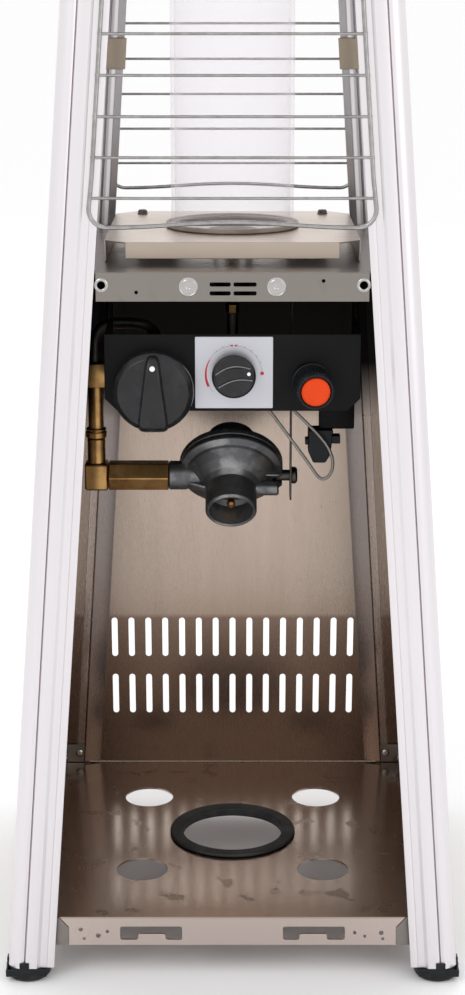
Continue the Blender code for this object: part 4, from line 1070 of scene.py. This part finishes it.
def make_base_fasteners():
    lip_face = -BASE_HIGH.x
    places = [((-118, lip_face - 0.1, 31.6), (0, -1, 0), 0.9), ((116, lip_face - 0.1, 31.4), (0, -1, 0), 0.9)]
    for sx in (-1, 1):
        wall = half_width(52) - PANEL_INSET - SHEET - GAP - SHEET - 0.1
        places.append(((sx * (wall - 10), wall, 51.0), (0, -1, 0), 1.0))
        places.append(((sx * wall, wall - 10, 51.0), (-sx, 0, 0), 1.0))
    scatter("base_screws", screw_head(), places, "bright_sheet")
    rivet = bmesh.new()
    add_lathe(rivet, eased([(0, 0.8), (1.2, 0.6), (1.9, 0.0), (0, 0.0)], 0.3, 3, closed=False), 20)
    spots = []
    for sx in (-1, 1):
        spots.append(((sx * (half_width(47) - 22.5), -half_width(47) + FLANGE_STEP - 0.05, 47.0),
                      (0, -1, 0), 1.0))
        spots.append(((sx * (half_width(476) - 22.5), -half_width(476) + FLANGE_STEP - 0.05, 476.0),
                      (0, -1, 0), 0.8))
    scatter("post_rivets", prototype("rivet", rivet), spots, "post_small")


# ---- panels ------------------------------------------------------------------------------------
def make_panels():
    """Rear and side panels, each with two rows of round-ended vent slots, and a rib up each side of the rear
    panel.
    """
    low, high = PANEL_LOW.z, PANEL_HIGH.z
    slots = []
    for bottom, top in ((86.4, 121.0), (136.5, 170.3)):
        slots += [slot_shape((i - 7) * 13.6, bottom, top, 4.8) for i in range(15)]
    side_rear_inset = PANEL_INSET + SHEET + GAP

    def outline(left, right):
        return [(-(half_width(low) - left), low), (half_width(low) - right, low),
                (half_width(high) - right, high), (-(half_width(high) - left), high)]
    shapes = (("rear_panel", REAR, PANEL_INSET, PANEL_INSET), ("left_panel", LEFT, side_rear_inset, 8.0),
              ("right_panel", RIGHT, 8.0, side_rear_inset))
    for name, side, left, right in shapes:
        bm = bmesh.new()
        add_prism(bm, outline(left, right), slots, on_side(side, PANEL_INSET), 0.0, SHEET, 0.3)
        if name == "rear_panel":
            for sx in (-1, 1):
                rib = eased([(22.7, 13.3), (23.2, 13.9), (29.0, 14.3), (29.5, 16.6), (30.3, 16.8),
                             (43.6, 13.3), (43.6, 12.6), (22.7, 12.6)], 0.3, 3)
                add_prism(bm, rib, [],
                          lambda a, b, z, sx=sx: (sx * (half_width(z) - a), half_width(z) - b, z),
                          low + 1.0, high - 1.0, 0.3)
        make_piece(name + "_sheet", bm, "panel", name)


# ---- burner level --------------------------------------------------------------------------------
def make_mid_plate():
    top = MID_HIGH.z - SHEET / 2
    reach = MID_HIGH.x - SHEET / 2
    tab = half_width(MID_HIGH.z) - POST_LEG - 2 * GAP
    inner = reach - 4.5
    corner = inner - 10
    quarter = [(-tab, -inner), (-tab, -reach), (tab, -reach), (tab, -inner), (corner, -inner)]
    outline = []
    for side in range(4):
        turn = side_turn(side)
        outline += [(turn @ Vector((x, y, 0)))[:2] for x, y in quarter]
        outline.append((turn @ Vector((inner, -corner, 0)))[:2])
    flats = [(outline, [circle(0, 0, 12.6, 48)], level(top))]
    louvres = []
    for left, right in ((-14.8, -1.2), (0.7, 15.6)):
        for low in (472.6, 478.4):
            louvres.append(eased(rectangle(left, right, low, low + 2.6), 0.9, 3))
    for side in range(4):
        holes = [circle(x, THREAD_Z, 2.65, 20) for x in (-THREAD_X, THREAD_X)]
        if side == FRONT:
            holes += louvres + [circle(-62.5, 474.5, 1.2, 12), circle(59.0, 482.0, 1.2, 12)]
        edge = [(-tab, MID_LOW.z), (tab, MID_LOW.z), (tab, top - 3), (tab, top), (-tab, top), (-tab, top - 3)]
        flats.append((edge, holes, upright(side, reach)))
    folded("mid_plate_sheet", flats, SHEET, "sheet", "mid_plate")
    face = -(MID_HIGH.y)
    bm = bmesh.new()
    add_lathe(bm, eased([(2.7, -4), (4.6, -1.0), (4.6, 0.5), (3.6, 0.9), (2.7, 0.6)], 0.25, 2), 32, ring=True)
    inserts = [((x, face + 0.4, THREAD_Z), (0, -1, 0), 1.0) for x in (-THREAD_X, THREAD_X)]
    scatter("mid_plate_thread_inserts", prototype("insert", bm), inserts, "bright_sheet")
    bm = bmesh.new()
    rim = eased([(0, 0.15), (1.1, 0.15), (1.9, 0.55), (4.4, 0.55), (4.9, 0.15), (5.6, 0.15), (6.1, 0.5),
                 (6.4, 0.0), (6.4, -0.4), (0, -0.4)], 0.2, 2, closed=False)
    add_lathe(bm, rim, 48)
    medallions = [((x, face - 0.05, 478.3), (0, -1, 0), 1.0) for x in (-28.6, 28.6)]
    scatter("mid_plate_stamped_bosses", prototype("boss", bm), medallions, "bright_sheet")


def make_deck():
    """The burner deck with cut corners and folded edges."""
    half = DECK_HIGH.x - THIN_SHEET / 2
    top = DECK_HIGH.z - THIN_SHEET / 2
    run = half - 14.0
    outline = [(-run, -half), (run, -half), (half, -run), (half, run), (run, half), (-run, half),
               (-half, run), (-half, -run)]
    flats = [(outline, [circle(0, 0, 41.6, 96)], level(top))]
    for side in range(4):
        low = MID_HIGH.z + GAP if side in (RIGHT, LEFT) else DECK_HIGH.z - 11.0
        flats.append((rectangle(-run, run, low, top), [], upright(side, half)))
    folded("burner_deck_sheet", flats, THIN_SHEET, "deck", "burner_deck", 0.5)
    bm = bmesh.new()
    add_lathe(bm, eased([(0, 3.2), (2.6, 3.0), (3.4, 2.0), (3.4, 0.4), (4.6, 0.0), (0, 0.0)], 0.4, 3,
                        closed=False), 24)
    places = [((x, y, DECK_HIGH.z), (0, 0, 1), 1.0) for x in (-66, 66) for y in (70,)]
    scatter("deck_screws", prototype("deck_stud", bm), places, "hot")


def make_burner():
    """A pressed cup with a ring of ports, over the mixing tube."""
    low, high, r = CUP_LOW.z, CUP_HIGH.z, CUP_HIGH.x - 3.0
    bm = bmesh.new()
    profile = eased([(0, high), (r - 7, high), (r - 1, high - 3), (r, high - 6), (r, low + 2.2),
                     (r + 3, low + 1.2),
                     (r + 3, low), (12.3, low), (12.3, low + 1.2), (r - 1.2, low + 1.2), (r - 1.2, high - 6),
                     (r - 7.4, high - 1.2), (0, high - 1.2)], 1.0, 3, closed=False)
    add_lathe(bm, profile, 72)
    make_piece("burner_cup_pressing", bm, "hot", "burner_cup")
    port = bmesh.new()
    add_lathe(port, eased([(0, 0.3), (1.1, 0.3), (1.6, 0.12), (1.9, -0.4), (0, -0.4)], 0.2, 2,
                          closed=False), 14,
              Matrix.Rotation(math.radians(90), 4, "Y"))
    ring_of("burner_port_lips", prototype("port", port), 26, r, "hot", Matrix.Translation((0, 0, high - 9)))
    refine("mixing_tube", "panel", 0.3)
    refine("gas_jet", "brass", 0.4)
    refine("pilot_burner", "brass", 0.4)
    refine("thermocouple", "hot", 0.3)
    refine("spark_electrode", "ceramic", 0.3)
    bent_pipe("burner_feed_tube", [(0.9, -61.7, 417), (0.9, -40, 417), (0.9, -12, 416), (0, 0, 418),
                                   (0, 0, 430),
                                   (0, 0, 440.7)], 4.0, "hot")


def bent_pipe(node, points, radius, finish):
    """A smooth bent pipe guided by points, in place of a CAD node."""
    curve = bpy.data.curves.new(node, "CURVE")
    curve.dimensions = "3D"
    spline = curve.splines.new("NURBS")
    spline.points.add(len(points) - 1)
    for point, place in zip(spline.points, points):
        point.co = (*(Vector(place) * MM), 1.0)
    spline.order_u = 4
    spline.use_endpoint_u = True
    spline.resolution_u = 16
    curve.bevel_depth = radius * MM
    curve.bevel_resolution = 6
    curve.use_fill_caps = True
    shape = bpy.data.objects.new(node, curve)
    bpy.context.scene.collection.objects.link(shape)
    bpy.context.view_layer.update()
    return dress(node + "_bent", plain_mesh(shape), finish, node)


def make_flame_tube():
    outer, inner = TUBE_RADIUS, TUBE_RADIUS - 2.5
    bm = bmesh.new()
    add_lathe(bm, eased([(outer, TUBE_LOW.z), (outer, TUBE_HIGH.z), (inner, TUBE_HIGH.z),
                         (inner, TUBE_LOW.z)], 1.0, 4),
              112, ring=True)
    make_piece("glass_tube_blown", bm, "glass", "glass_tube")
    bm = bmesh.new()
    low, high = SEAT_LOW.z, SEAT_HIGH.z
    seat = eased([(inner - 0.7, low), (outer + 3.5, low), (outer + 3.5, high), (outer + 0.4, high),
                  (outer + 0.4, TUBE_LOW.z - GAP), (inner - 0.7, TUBE_LOW.z - GAP)], 0.6, 3)
    add_lathe(bm, seat, 96, ring=True)
    make_piece("tube_seat_gasket", bm, "ceramic", "tube_seat_ring")


def make_grille(name, side):
    """A bent wire frame with rounded lower corners, a bowed foot and level cross wires."""
    low, high, r = GRILLE_LOW.z, GRILLE_HIGH.z, 13.0
    radius = 1.3
    place = on_side(side, GUARD_INSET)
    edge = GRILLE_SIDE + radius
    foot = low + radius
    bend = r - radius
    path = [(-(half_width(z) - edge), z) for z in (high - radius, (high + foot) / 2, foot + bend + 20)]
    left, right = -(half_width(foot) - edge) + bend, half_width(foot) - edge - bend
    path += arc(left, foot + bend, bend, 180, 270, 8)
    bow = [(left + (right - left) * i / 16, foot + 3.4 * math.sin(math.pi * i / 16) ** 2)
           for i in range(1, 16)]
    path += bow + arc(right, foot + bend, bend, 270, 360, 8)
    path += [(half_width(z) - edge, z) for z in (foot + bend + 20, (high + foot) / 2, high - radius)]
    bm = bmesh.new()
    add_wire(bm, [place(a, z) for a, z in path], radius * 1.1, 14)
    top = half_width(high) - edge
    add_wire(bm, [place(-top, high - radius), place(0, high - radius), place(top, high - radius)], radius, 12)
    wires = WIRES.grow(name, "wire", None, Count=GUARD_WIRES, First=GUARD_LOWEST_WIRE * MM,
                       Pitch=GRILLE_PITCH * MM,
                       Radius=0.98 * MM,
                       Half_width=(BASE_HALF - edge + 1.5) * MM, Lean=LEAN,
                       Set_back=(edge - 1.5 - GUARD_INSET) * -MM)
    wires.transform(side_turn(side).to_4x4())
    frame_wire = bpy.data.meshes.new(name)
    bmesh.ops.scale(bm, vec=(MM, MM, MM), verts=bm.verts)
    bm.from_mesh(wires)
    bmesh.ops.recalc_face_normals(bm, faces=bm.faces)
    bm.to_mesh(frame_wire)
    bm.free()
    dress(name + "_wires", frame_wire, "wire", name)


def make_grille_clips():
    """Bent sheet clips on the rear posts' inner edges that hold the rear guard."""
    for name, sx in (("left", -1), ("right", 1)):
        bm = bmesh.new()
        shape = eased([(18.0, 3.8), (31.3, 3.8), (31.3, 2.4), (32.6, 2.4), (32.6, 5.0), (18.0, 5.0)], 0.4, 3)
        add_prism(bm, shape, [], lambda a, b, z, sx=sx: (sx * (half_width(z) - a), half_width(z) - b, z),
                  604.6, 627.3, 0.3)
        make_piece("rear_guard_clip_" + name, bm, "clip")


# ---- top: plate, flame screen, hood ------------------------------------------------------------
def make_top():
    mid = TOP_HIGH.z - SHEET / 2
    half = TOP_HIGH.x - SHEET / 2
    flats = [(rectangle(-half, half, -half, half), [circle(0, 0, 40.0, 72)], level(mid))]
    for side in range(4):
        flats.append((rectangle(-half, half, TOP_LOW.z, mid), [], upright(side, half)))
    folded("top_plate_sheet", flats, SHEET, "hood", "top_plate")
    r, low, high = SCREEN_HIGH.x, SCREEN_LOW.z, SCREEN_HIGH.z
    bm = bmesh.new()
    add_lathe(bm, eased([(0, high), (r - 10, high), (r - 8, high - 2), (r, low), (r - 1, low),
                         (r - 9, high - 2.4),
                         (r - 10.4, high - 1), (0, high - 1)], 0.4, 2, closed=False), 144)
    screen = prototype("flame_screen_blank", bm)
    tool = bmesh.new()
    add_prism(tool, slot_shape(0, -13, 13, 5.0), [], lambda a, b, d: (d, a, b), -14, 14)
    port = prototype("screen_slot", tool)
    cuts = RING.grow("screen_slots", "hot", None, Piece=port, Count=16, Radius=(r - 4) * MM)
    bpy.data.objects.remove(port)
    cuts.transform(Matrix.Translation((0, 0, (low + high) / 2 * MM)) @ Matrix.Rotation(math.pi / 16, 4, "Z"))
    cutter = bpy.data.objects.new("screen_slots", cuts)
    bpy.context.scene.collection.objects.link(cutter)
    step = screen.modifiers.new("slots", "BOOLEAN")
    step.operation, step.object = "DIFFERENCE", cutter
    bpy.context.view_layer.update()
    mesh = plain_mesh(screen)
    bpy.data.objects.remove(cutter)
    dress("flame_screen_pressing", mesh, "hot", "flame_screen")
    refine("hood_stud", "hood", 0.5)
    make_hood()


def make_hood():
    """A low pyramid with a flat middle and a folded rim."""
    top = HOOD_HIGH.z - THIN_SHEET / 2
    rise, flat_half, lip = 38.0, 55.0, 9.0
    eave = top - rise
    half = HOOD_HIGH.x - THIN_SHEET / 2
    flats = [(rectangle(-flat_half, flat_half, -flat_half, flat_half), [circle(0, 0, 4.3, 32)], level(top))]
    for side in range(4):
        turn = side_turn(side)

        def slope(a, out, turn=turn):
            return turn @ Vector((a, -out, top - rise * (out - flat_half) / (half - flat_half)))
        flats.append(([(-flat_half, flat_half), (flat_half, flat_half), (half, half), (-half, half)], [],
                      slope))
        flats.append((rectangle(-half, half, eave - lip, eave), [], upright(side, half)))
    hood = folded("reflector_hood_sheet", flats, THIN_SHEET, "hood", "reflector_hood", 0.5)
    hood.modifiers["eased edges"].angle_limit = math.radians(12)


# ---- control box ---------------------------------------------------------------------------------
def make_control_box():
    refine("control_box", "paint", 0.5)
    bm = bmesh.new()
    outline = eased(rectangle(DIAL_LOW.x, DIAL_HIGH.x, DIAL_LOW.z, DIAL_HIGH.z), 0.8, 4)
    add_prism(bm, outline, [circle(0.9, 418.5, 6.0, 40)], lambda x, z, y: (x, y, z), DIAL_LOW.y,
              DIAL_HIGH.y, 0.15)
    make_piece("dial_plate_printed", bm, "dial", "dial_plate")
    for node in ("control_valve_body", "gas_valve_body"):
        refine(node, "zinc", 0.6)
    refine("control_valve_stem", "brass", 0.3, body="control_stem")
    bent_pipe("gas_feed_tube",
              [(-98.15, 0, 405.8), (-98.15, 0, 420), (-96.15, 0, 432), (-78.15, 2, 434), (-56.25, 2, 432),
               (-52.25, -10, 420), (-52.25, -30, 411), (-52.25, -50, 410), (-52.25, -65.7, 410)], 4.0,
              "hot")


def make_control_knob():
    """A low round knob with a curved grip bar across it."""
    x, y, z = PIVOT["control_knob_turn"]
    low = 4.5
    r = 14.5
    spot = facing_front(x, y, z)
    bm = bmesh.new()
    body = eased([(0, 12.3), (3.3, 12.3), (3.3, low), (r - 0.6, low), (r, low + 0.8), (r, low + 8),
                  (r - 1.5, low + 9.5), (0, low + 9.2)], 0.7, 4, closed=False)
    add_lathe(bm, body, 96, spot)
    make_piece("control_knob_disc", bm, "knob", "control_knob", body="control_knob")
    bm = bmesh.new()
    lean = math.radians(10)
    upper = [(-12.2 + 24.4 * i / 12, 4.1 + 1.6 * math.sin(math.pi * i / 12)) for i in range(13)]
    lower = [(12.2 - 24.4 * i / 12, -4.3 + 2.6 * math.sin(math.pi * i / 12)) for i in range(13)]
    shape = [(a * math.cos(lean) - b * math.sin(lean), a * math.sin(lean) + b * math.cos(lean))
             for a, b in eased(upper + lower, 1.2, 3)]

    def place(a, b, d):
        return spot @ Vector((a, b, d))
    add_prism(bm, shape, [], place, low + 8.6, low + 10.0, 0.4)
    make_piece("control_knob_grip_bar", bm, "knob", body="control_knob", sharp=50)
    for edge, bow, start, end, depth in (("upper", 3.4, -11.6, 11.6, 14.5),
                                         ("lower", 2.6, -11.2, 11.6, 14.5)):
        level_at = 3.6 if edge == "upper" else -4.4
        line = []
        for i in range(19):
            a = start + (end - start) * i / 18
            b = level_at + bow * math.sin(math.pi * i / 18) - (0.9 if edge == "lower" else 0.0) * (1 - i / 18)
            line.append(place(a * math.cos(lean) - b * math.sin(lean),
                              a * math.sin(lean) + b * math.cos(lean), depth))
        bm = bmesh.new()
        add_wire(bm, line, 0.36, 8)
        make_piece("control_knob_" + edge + "_line", bm, "line", body="control_knob")
    bm = bmesh.new()
    add_lathe(bm, [(0, 0.3), (1.1, 0.3), (1.25, 0.0), (0, 0.0)], 24)
    dot = spot @ Vector((10.0 * math.cos(lean), 10.0 * math.sin(lean) + 0.4, low + 9.95))
    scatter("control_knob_dot", prototype("dot", bm), [(dot, (0, -1, 0), 1.0)], "print",
            body="control_knob")


def make_gas_knob():
    """A big domed knob with a raised grip that widens downward."""
    x, y, z = PIVOT["gas_knob_turn"]
    r = 27.0
    spot = facing_front(x, y, z)
    bm = bmesh.new()
    body = eased([(0, -12), (3.3, -12), (3.3, 3), (r - 2.2, 3), (r - 1.0, 6), (r, 11), (r - 0.6, 14),
                  (r - 4, 17.6), (r - 12, 20), (0, 21)], 2.6, 6, closed=False)
    add_lathe(bm, body, 144, spot)
    make_piece("gas_knob_dome", bm, "knob", "gas_knob", body="gas_knob")
    bm = bmesh.new()
    rows = []
    profile = ((25.4, 2.4, 15.0), (23.8, 3.6, 19.0), (19.0, 4.4, 23.0), (10.0, 5.4, 24.8), (0.0, 6.6, 25.0),
               (-10.0, 8.0, 24.8), (-19.0, 9.2, 23.4), (-24.6, 9.0, 20.0), (-27.2, 8.0, 14.5))
    for b, half, top in profile:
        flare = half + 1.4
        section = [(-flare, 6.0), (-flare + 0.2, top - 4.5), (-half + 0.1, top - 1.2),
                   (-half + 1.2, top - 0.2),
                   (-half / 2, top), (0, top + 0.1), (half / 2, top), (half - 1.2, top - 0.2),
                   (half - 0.1, top - 1.2), (flare - 0.2, top - 4.5), (flare, 6.0)]
        rows.append([bm.verts.new(spot @ Vector((a, b, d))) for a, d in section])
    for row, above in zip(rows, rows[1:]):
        for i in range(len(row)):
            j = (i + 1) % len(row)
            bm.faces.new((row[i], row[j], above[j], above[i]))
    bm.faces.new(rows[0])
    bm.faces.new(rows[-1])
    grip = make_piece("gas_knob_grip", bm, "knob", body="gas_knob", sharp=70)
    smooth = grip.modifiers.new("moulded form", "SUBSURF")
    smooth.levels = smooth.render_levels = 2
    bm = bmesh.new()
    add_lathe(bm, [(0, 0.35), (1.5, 0.3), (1.8, 0.0), (0, 0.0)], 24)
    place = spot @ Vector((0, 17.5, 23.6))
    facing = Vector((0, -0.9, 0.35))
    scatter("gas_knob_dot", prototype("dot", bm), [(place, facing, 1.0)], "print",
            body="gas_knob")


def make_igniter():
    axis = joint_place("igniter_cap_unscrew")
    cap_r, cap_l, barrel, button = 13.25, 19.5, 10.8, 9.5
    front, back = -2.4, -cap_l - GAP
    bore, floor = button + GAP, -cap_l - 1.0
    bm = bmesh.new()
    add_lathe(bm, eased([(0, -48), (barrel - 2, -48), (barrel, -46), (barrel, back - 2), (cap_r, back - 2),
                         (cap_r, back), (barrel, back), (barrel, front), (bore, front), (bore, floor),
                         (0, floor)],
                        0.5, 3, closed=False), 64, axis)
    make_piece("igniter_barrel", bm, "plastic", "igniter_body")
    bm = bmesh.new()
    inner = barrel + GAP
    ribs = cap_r - 0.9
    add_lathe(bm, eased([(bore, -0.9), (bore + 0.8, -0.1), (cap_r - 1.6, -0.1), (ribs, -1.8), (ribs, -cap_l),
                         (inner, -cap_l), (inner, -2.1), (bore, -2.1)], 0.5, 4), 96, axis, ring=True)
    make_piece("igniter_cap_ring", bm, "plastic", "igniter_cap", body="igniter_cap")
    rib = bmesh.new()
    add_prism(rib, eased([(-0.6, -0.45), (0.85, -0.3), (0.85, 0.3), (-0.6, 0.45)], 0.2, 2), [],
              lambda a, b, d: (a, b, d), -cap_l + 0.8, -2.4, 0.3)
    ring_of("igniter_cap_ribs", prototype("rib", rib), 44, ribs, "plastic", axis,
            body="igniter_cap")
    bm = bmesh.new()
    b = button
    bottom = floor + 4.6
    add_lathe(bm, eased([(0, 2.6), (b - 4, 2.5), (b - 1.4, 1.9), (b - 0.2, 0.6), (b, -0.6), (b, bottom),
                         (0, bottom)], 0.9,
                        4, closed=False), 72, axis)
    make_piece("igniter_button_cap", bm, "orange", "igniter_button",
               body="igniter_button", sharp=50)


# ---- gas regulator and its pipe ------------------------------------------------------------------
def regulator_place():
    swing = Matrix.Rotation(math.radians(REGULATOR_TILT), 4, "X")
    return Matrix.Translation(PIVOT["regulator_swing"]) @ swing


def make_regulator():
    axis = regulator_place()
    socket, mouth, rim, rim_z, bore = 18.4, -34.0, 37.5, 7.6, 15.4
    bm = bmesh.new()
    lower = eased([(bore, mouth + 0.6), (bore + 0.9, mouth), (socket - 1.2, mouth), (socket, mouth + 1.5),
                   (socket, -14),
                   (21, -10),
                   (27, -5.5), (rim - 6.0, rim_z - 8.0), (rim - 5.0, rim_z - 6.0), (rim - 0.4, rim_z - 4.4),
                   (rim, rim_z - 3.2), (rim, rim_z - 0.2),
                   (33, rim_z - 0.1), (33, rim_z - 2), (24, -1), (14, -6.5), (3.6, -7), (3.6, -14),
                   (bore - 3, -14), (bore, -17)],
                  0.8, 3)
    add_lathe(bm, lower, 128, axis, ring=True)
    lug = eased([(5.3, -45), (9.6, -45), (10.5, -44), (10.5, -33.0), (9.6, -30.0), (9.2, -16), (0, -16),
                 (0, -36.5), (5.3, -36.5)], 0.7, 3)
    add_lathe(bm, lug, 64, axis @ along_x(), ring=True)
    web = eased([(-36, -8.0), (-20, -13.5), (-14, -13.5), (-14, -2.0), (-28, 2.4), (-38, 4.0)], 1.5, 4)
    add_prism(bm, web, [], lambda a, b, d: axis @ Vector((a, d, b)), -3.0, 3.0, 0.8)
    make_piece("regulator_lower_casting", bm, "zinc", "regulator_lower_shell", "regulator",
               sharp=40)
    bm = bmesh.new()
    arm = eased([(24, -6.2), (34.5, -6.2), (37.0, -4.0), (37.0, 4.0), (34.5, 6.0), (24, 6.0)], 1.2, 4)
    add_prism(bm, arm, [], lambda a, b, d: axis @ Vector((a, d, b)), -7.4, -4.4, 0.5)
    add_prism(bm, arm, [], lambda a, b, d: axis @ Vector((a, d, b)), 4.4, 7.4, 0.5)
    side = eased(rectangle(24, 30, -7.2, 7.2), 0.8, 3)
    add_prism(bm, side, [], lambda a, b, d: axis @ Vector((a, b, d)), -6.2, 6.0, 0.5)
    add_lathe(bm, eased([(0, 13), (5, 13), (5, 33), (4, 34.3), (0, 34.3)], 0.8, 3, closed=False), 40,
              axis @ along_x(z=-12.5))
    make_piece("regulator_right_arm", bm, "zinc", body="regulator")
    bm = bmesh.new()
    seat = rim_z + GAP
    upper = eased([(0, 37), (14.5, 37), (17, 36.4), (18, 34.6), (18.2, 24.5), (19.5, 22.2), (25.5, 19.6),
                   (27.5, 18.4),
                   (28.6, 16.6), (34.6, 14.6), (36.6, 13.6), (rim, 11.8), (rim, seat), (33, seat),
                   (31, 9.5), (20, 15.5), (15.5, 20), (15.5, 33.5), (0, 33.5)], 1.0, 4, closed=False)
    add_lathe(bm, upper, 128, axis)
    make_piece("regulator_bonnet_casting", bm, "zinc", "regulator_bonnet", "regulator",
               sharp=40)
    boss = bmesh.new()
    add_lathe(boss, eased([(0, 3.4), (1.6, 3.4), (2.1, 2.8), (2.1, -1), (0, -1)], 0.4, 3, closed=False), 20)
    ring_of("regulator_bonnet_rivets", prototype("rivet", boss), 6, 31.0, "zinc",
            axis @ Matrix.Translation((0, 0, 12.4)) @ Matrix.Rotation(math.radians(30), 4, "Z"),
            body="regulator")
    bm = bmesh.new()
    add_lathe(bm, eased([(0, -8), (3.2, -8), (3.2, -14.3), (6.5, -14.3), (6.5, -18.5), (3.2, -19.5),
                         (2.3, -24), (3.1, -25.6),
                         (3.1, -27.4), (1.8, -29), (0, -29)], 0.5, 4, closed=False), 48, axis)
    make_piece("regulator_pin_turned", bm, "bright_brass", "regulator_valve_pin", "regulator",
               sharp=50)


def make_inlet():
    for node, bevel in (("inlet_bar", 0.7), ("inlet_elbow", 0.9), ("riser_block", 0.6)):
        refine(node, "brass", bevel)
    spot_low, spot_high = box_mm("riser_tube")
    x = (spot_low.x + spot_high.x) / 2
    r = (spot_high.x - spot_low.x) / 2
    nut_low, nut_high = box_mm("riser_nut")
    bm = bmesh.new()
    add_lathe(bm, eased([(0, spot_low.z), (r, spot_low.z), (r, spot_high.z), (0, spot_high.z)], 0.6, 3,
                        closed=False),
              48, Matrix.Translation((x, 0, 0)))
    make_piece("riser_tube_drawn", bm, "brass", "riser_tube")
    bm = bmesh.new()
    low, high, out = nut_low.z, nut_high.z, nut_high.x - x
    collar = eased([(r + GAP, low), (out - 0.8, low), (out, low + 1), (out, high - 2.6),
                    (out - 1.1, high - 2.2),
                    (out - 1.1, high - 1.4), (out - 0.2, high - 1.0), (out - 0.6, high), (r + GAP, high)],
                   0.4, 3)
    add_lathe(bm, collar, 48, Matrix.Translation((x, 0, 0)), ring=True)
    make_piece("riser_nut_turned", bm, "brass", "riser_nut")
    refine("hanger_strap", "hot", 0.3)
    refine("pivot_stud", "hot", 0.4)


def make_tilt_switch():
    """A moulded case that narrows downward, its bracket and its lead."""
    low, high = box_mm("tilt_switch")
    bm = bmesh.new()
    side = eased([(low.x + 3.5, low.z), (low.x + 12.0, low.z), (low.x + 15.0, low.z + 5),
                  (low.x + 16.2, low.z + 12),
                  (low.x + 16.2, high.z - 6), (low.x + 17.5, high.z), (low.x, high.z), (low.x, low.z + 8)],
                 1.4, 4)
    add_prism(bm, side, [], lambda a, b, d: (a, d, b), low.y, high.y, 0.6)
    add_block(bm, (low.x + 15, low.y + 2, high.z - 10), (high.x, high.y - 3, high.z - 5))
    add_block(bm, (low.x - 2.0, low.y + 3, high.z - 11), (low.x + 1, high.y - 4, high.z - 7))
    make_piece("tilt_switch_case", bm, "plastic", "tilt_switch", bevel=0.3)
    refine("tilt_switch_bracket", "paint", 0.5)
    y = -63.5
    top = 391.5
    bent_pipe("tilt_switch_lead",
              [(19.6, y, top), (26.7, y, 382.3), (42.0, y, 361.3), (54.0, y, 344.7), (58.0, y, 338.2),
               (61.5, y, 334.6), (66.5, y, 336.4), (69.6, y, 343.0), (69.3, y, 350.0), (66.4, y, 358.0),
               (60.6, y, 365.6), (53.7, y, 372.4), (43.9, y, 382.3), (33.8, y, top)], 1.1, "lead")


# ---- the studio: floor, light and camera ---------------------------------------------------------
def make_studio():
    bm = bmesh.new()
    bmesh.ops.create_circle(bm, cap_ends=True, segments=96, radius=40.0)
    mesh = bpy.data.meshes.new("floor")
    bm.to_mesh(mesh)
    bm.free()
    mesh.materials.append(MATERIALS["floor"])
    floor = bpy.data.objects.new("floor", mesh)
    bpy.context.scene.collection.objects.link(floor)
    world = bpy.data.worlds.new("studio")
    bpy.context.scene.world = world
    world.use_nodes = True
    sky = world.node_tree.nodes["Background"]
    sky.inputs["Color"].default_value = (1.0, 1.0, 1.0, 1.0)
    sky.inputs["Strength"].default_value = 1.05
    for name, place, size, power in (("key", (-1.6, -2.2, 2.6), 1.6, 16.0),
                                     ("fill", (2.0, -2.4, 1.4), 1.8, 8.0),
                                     ("rear", (0.4, 2.4, 2.2), 1.6, 12.0)):
        light = bpy.data.lights.new(name, "AREA")
        light.size = size
        light.energy = power
        lamp = bpy.data.objects.new(name, light)
        bpy.context.scene.collection.objects.link(lamp)
        lamp.location = place
        lamp.rotation_euler = (Vector((0, 0, 0.4)) - Vector(place)).to_track_quat("-Z", "Y").to_euler()
    camera = bpy.data.cameras.new("camera")
    camera.lens = CAMERA_LENS
    camera.sensor_width = 36.0
    camera.clip_start = 0.05
    camera.clip_end = 200.0
    view = bpy.data.objects.new("camera", camera)
    view.location = CAMERA_PLACE
    view.rotation_euler = (math.radians(90 - CAMERA_PITCH), 0.0, 0.0)
    bpy.context.scene.collection.objects.link(view)
    bpy.context.scene.camera = view
    bpy.context.scene.view_settings.view_transform = "Standard"


def main():
    for corner, (sx, sy) in CORNERS.items():
        make_post(corner, sx, sy)
        make_foot(corner, sx, sy)
    make_base_plate()
    make_base_fasteners()
    make_panels()
    make_mid_plate()
    make_deck()
    make_burner()
    make_flame_tube()
    for name, side in SIDES.items():
        make_grille(name + "_grille", side)
    make_grille_clips()
    make_top()
    make_control_box()
    make_control_knob()
    make_gas_knob()
    make_igniter()
    make_regulator()
    make_inlet()
    make_tilt_switch()
    make_studio()


main()
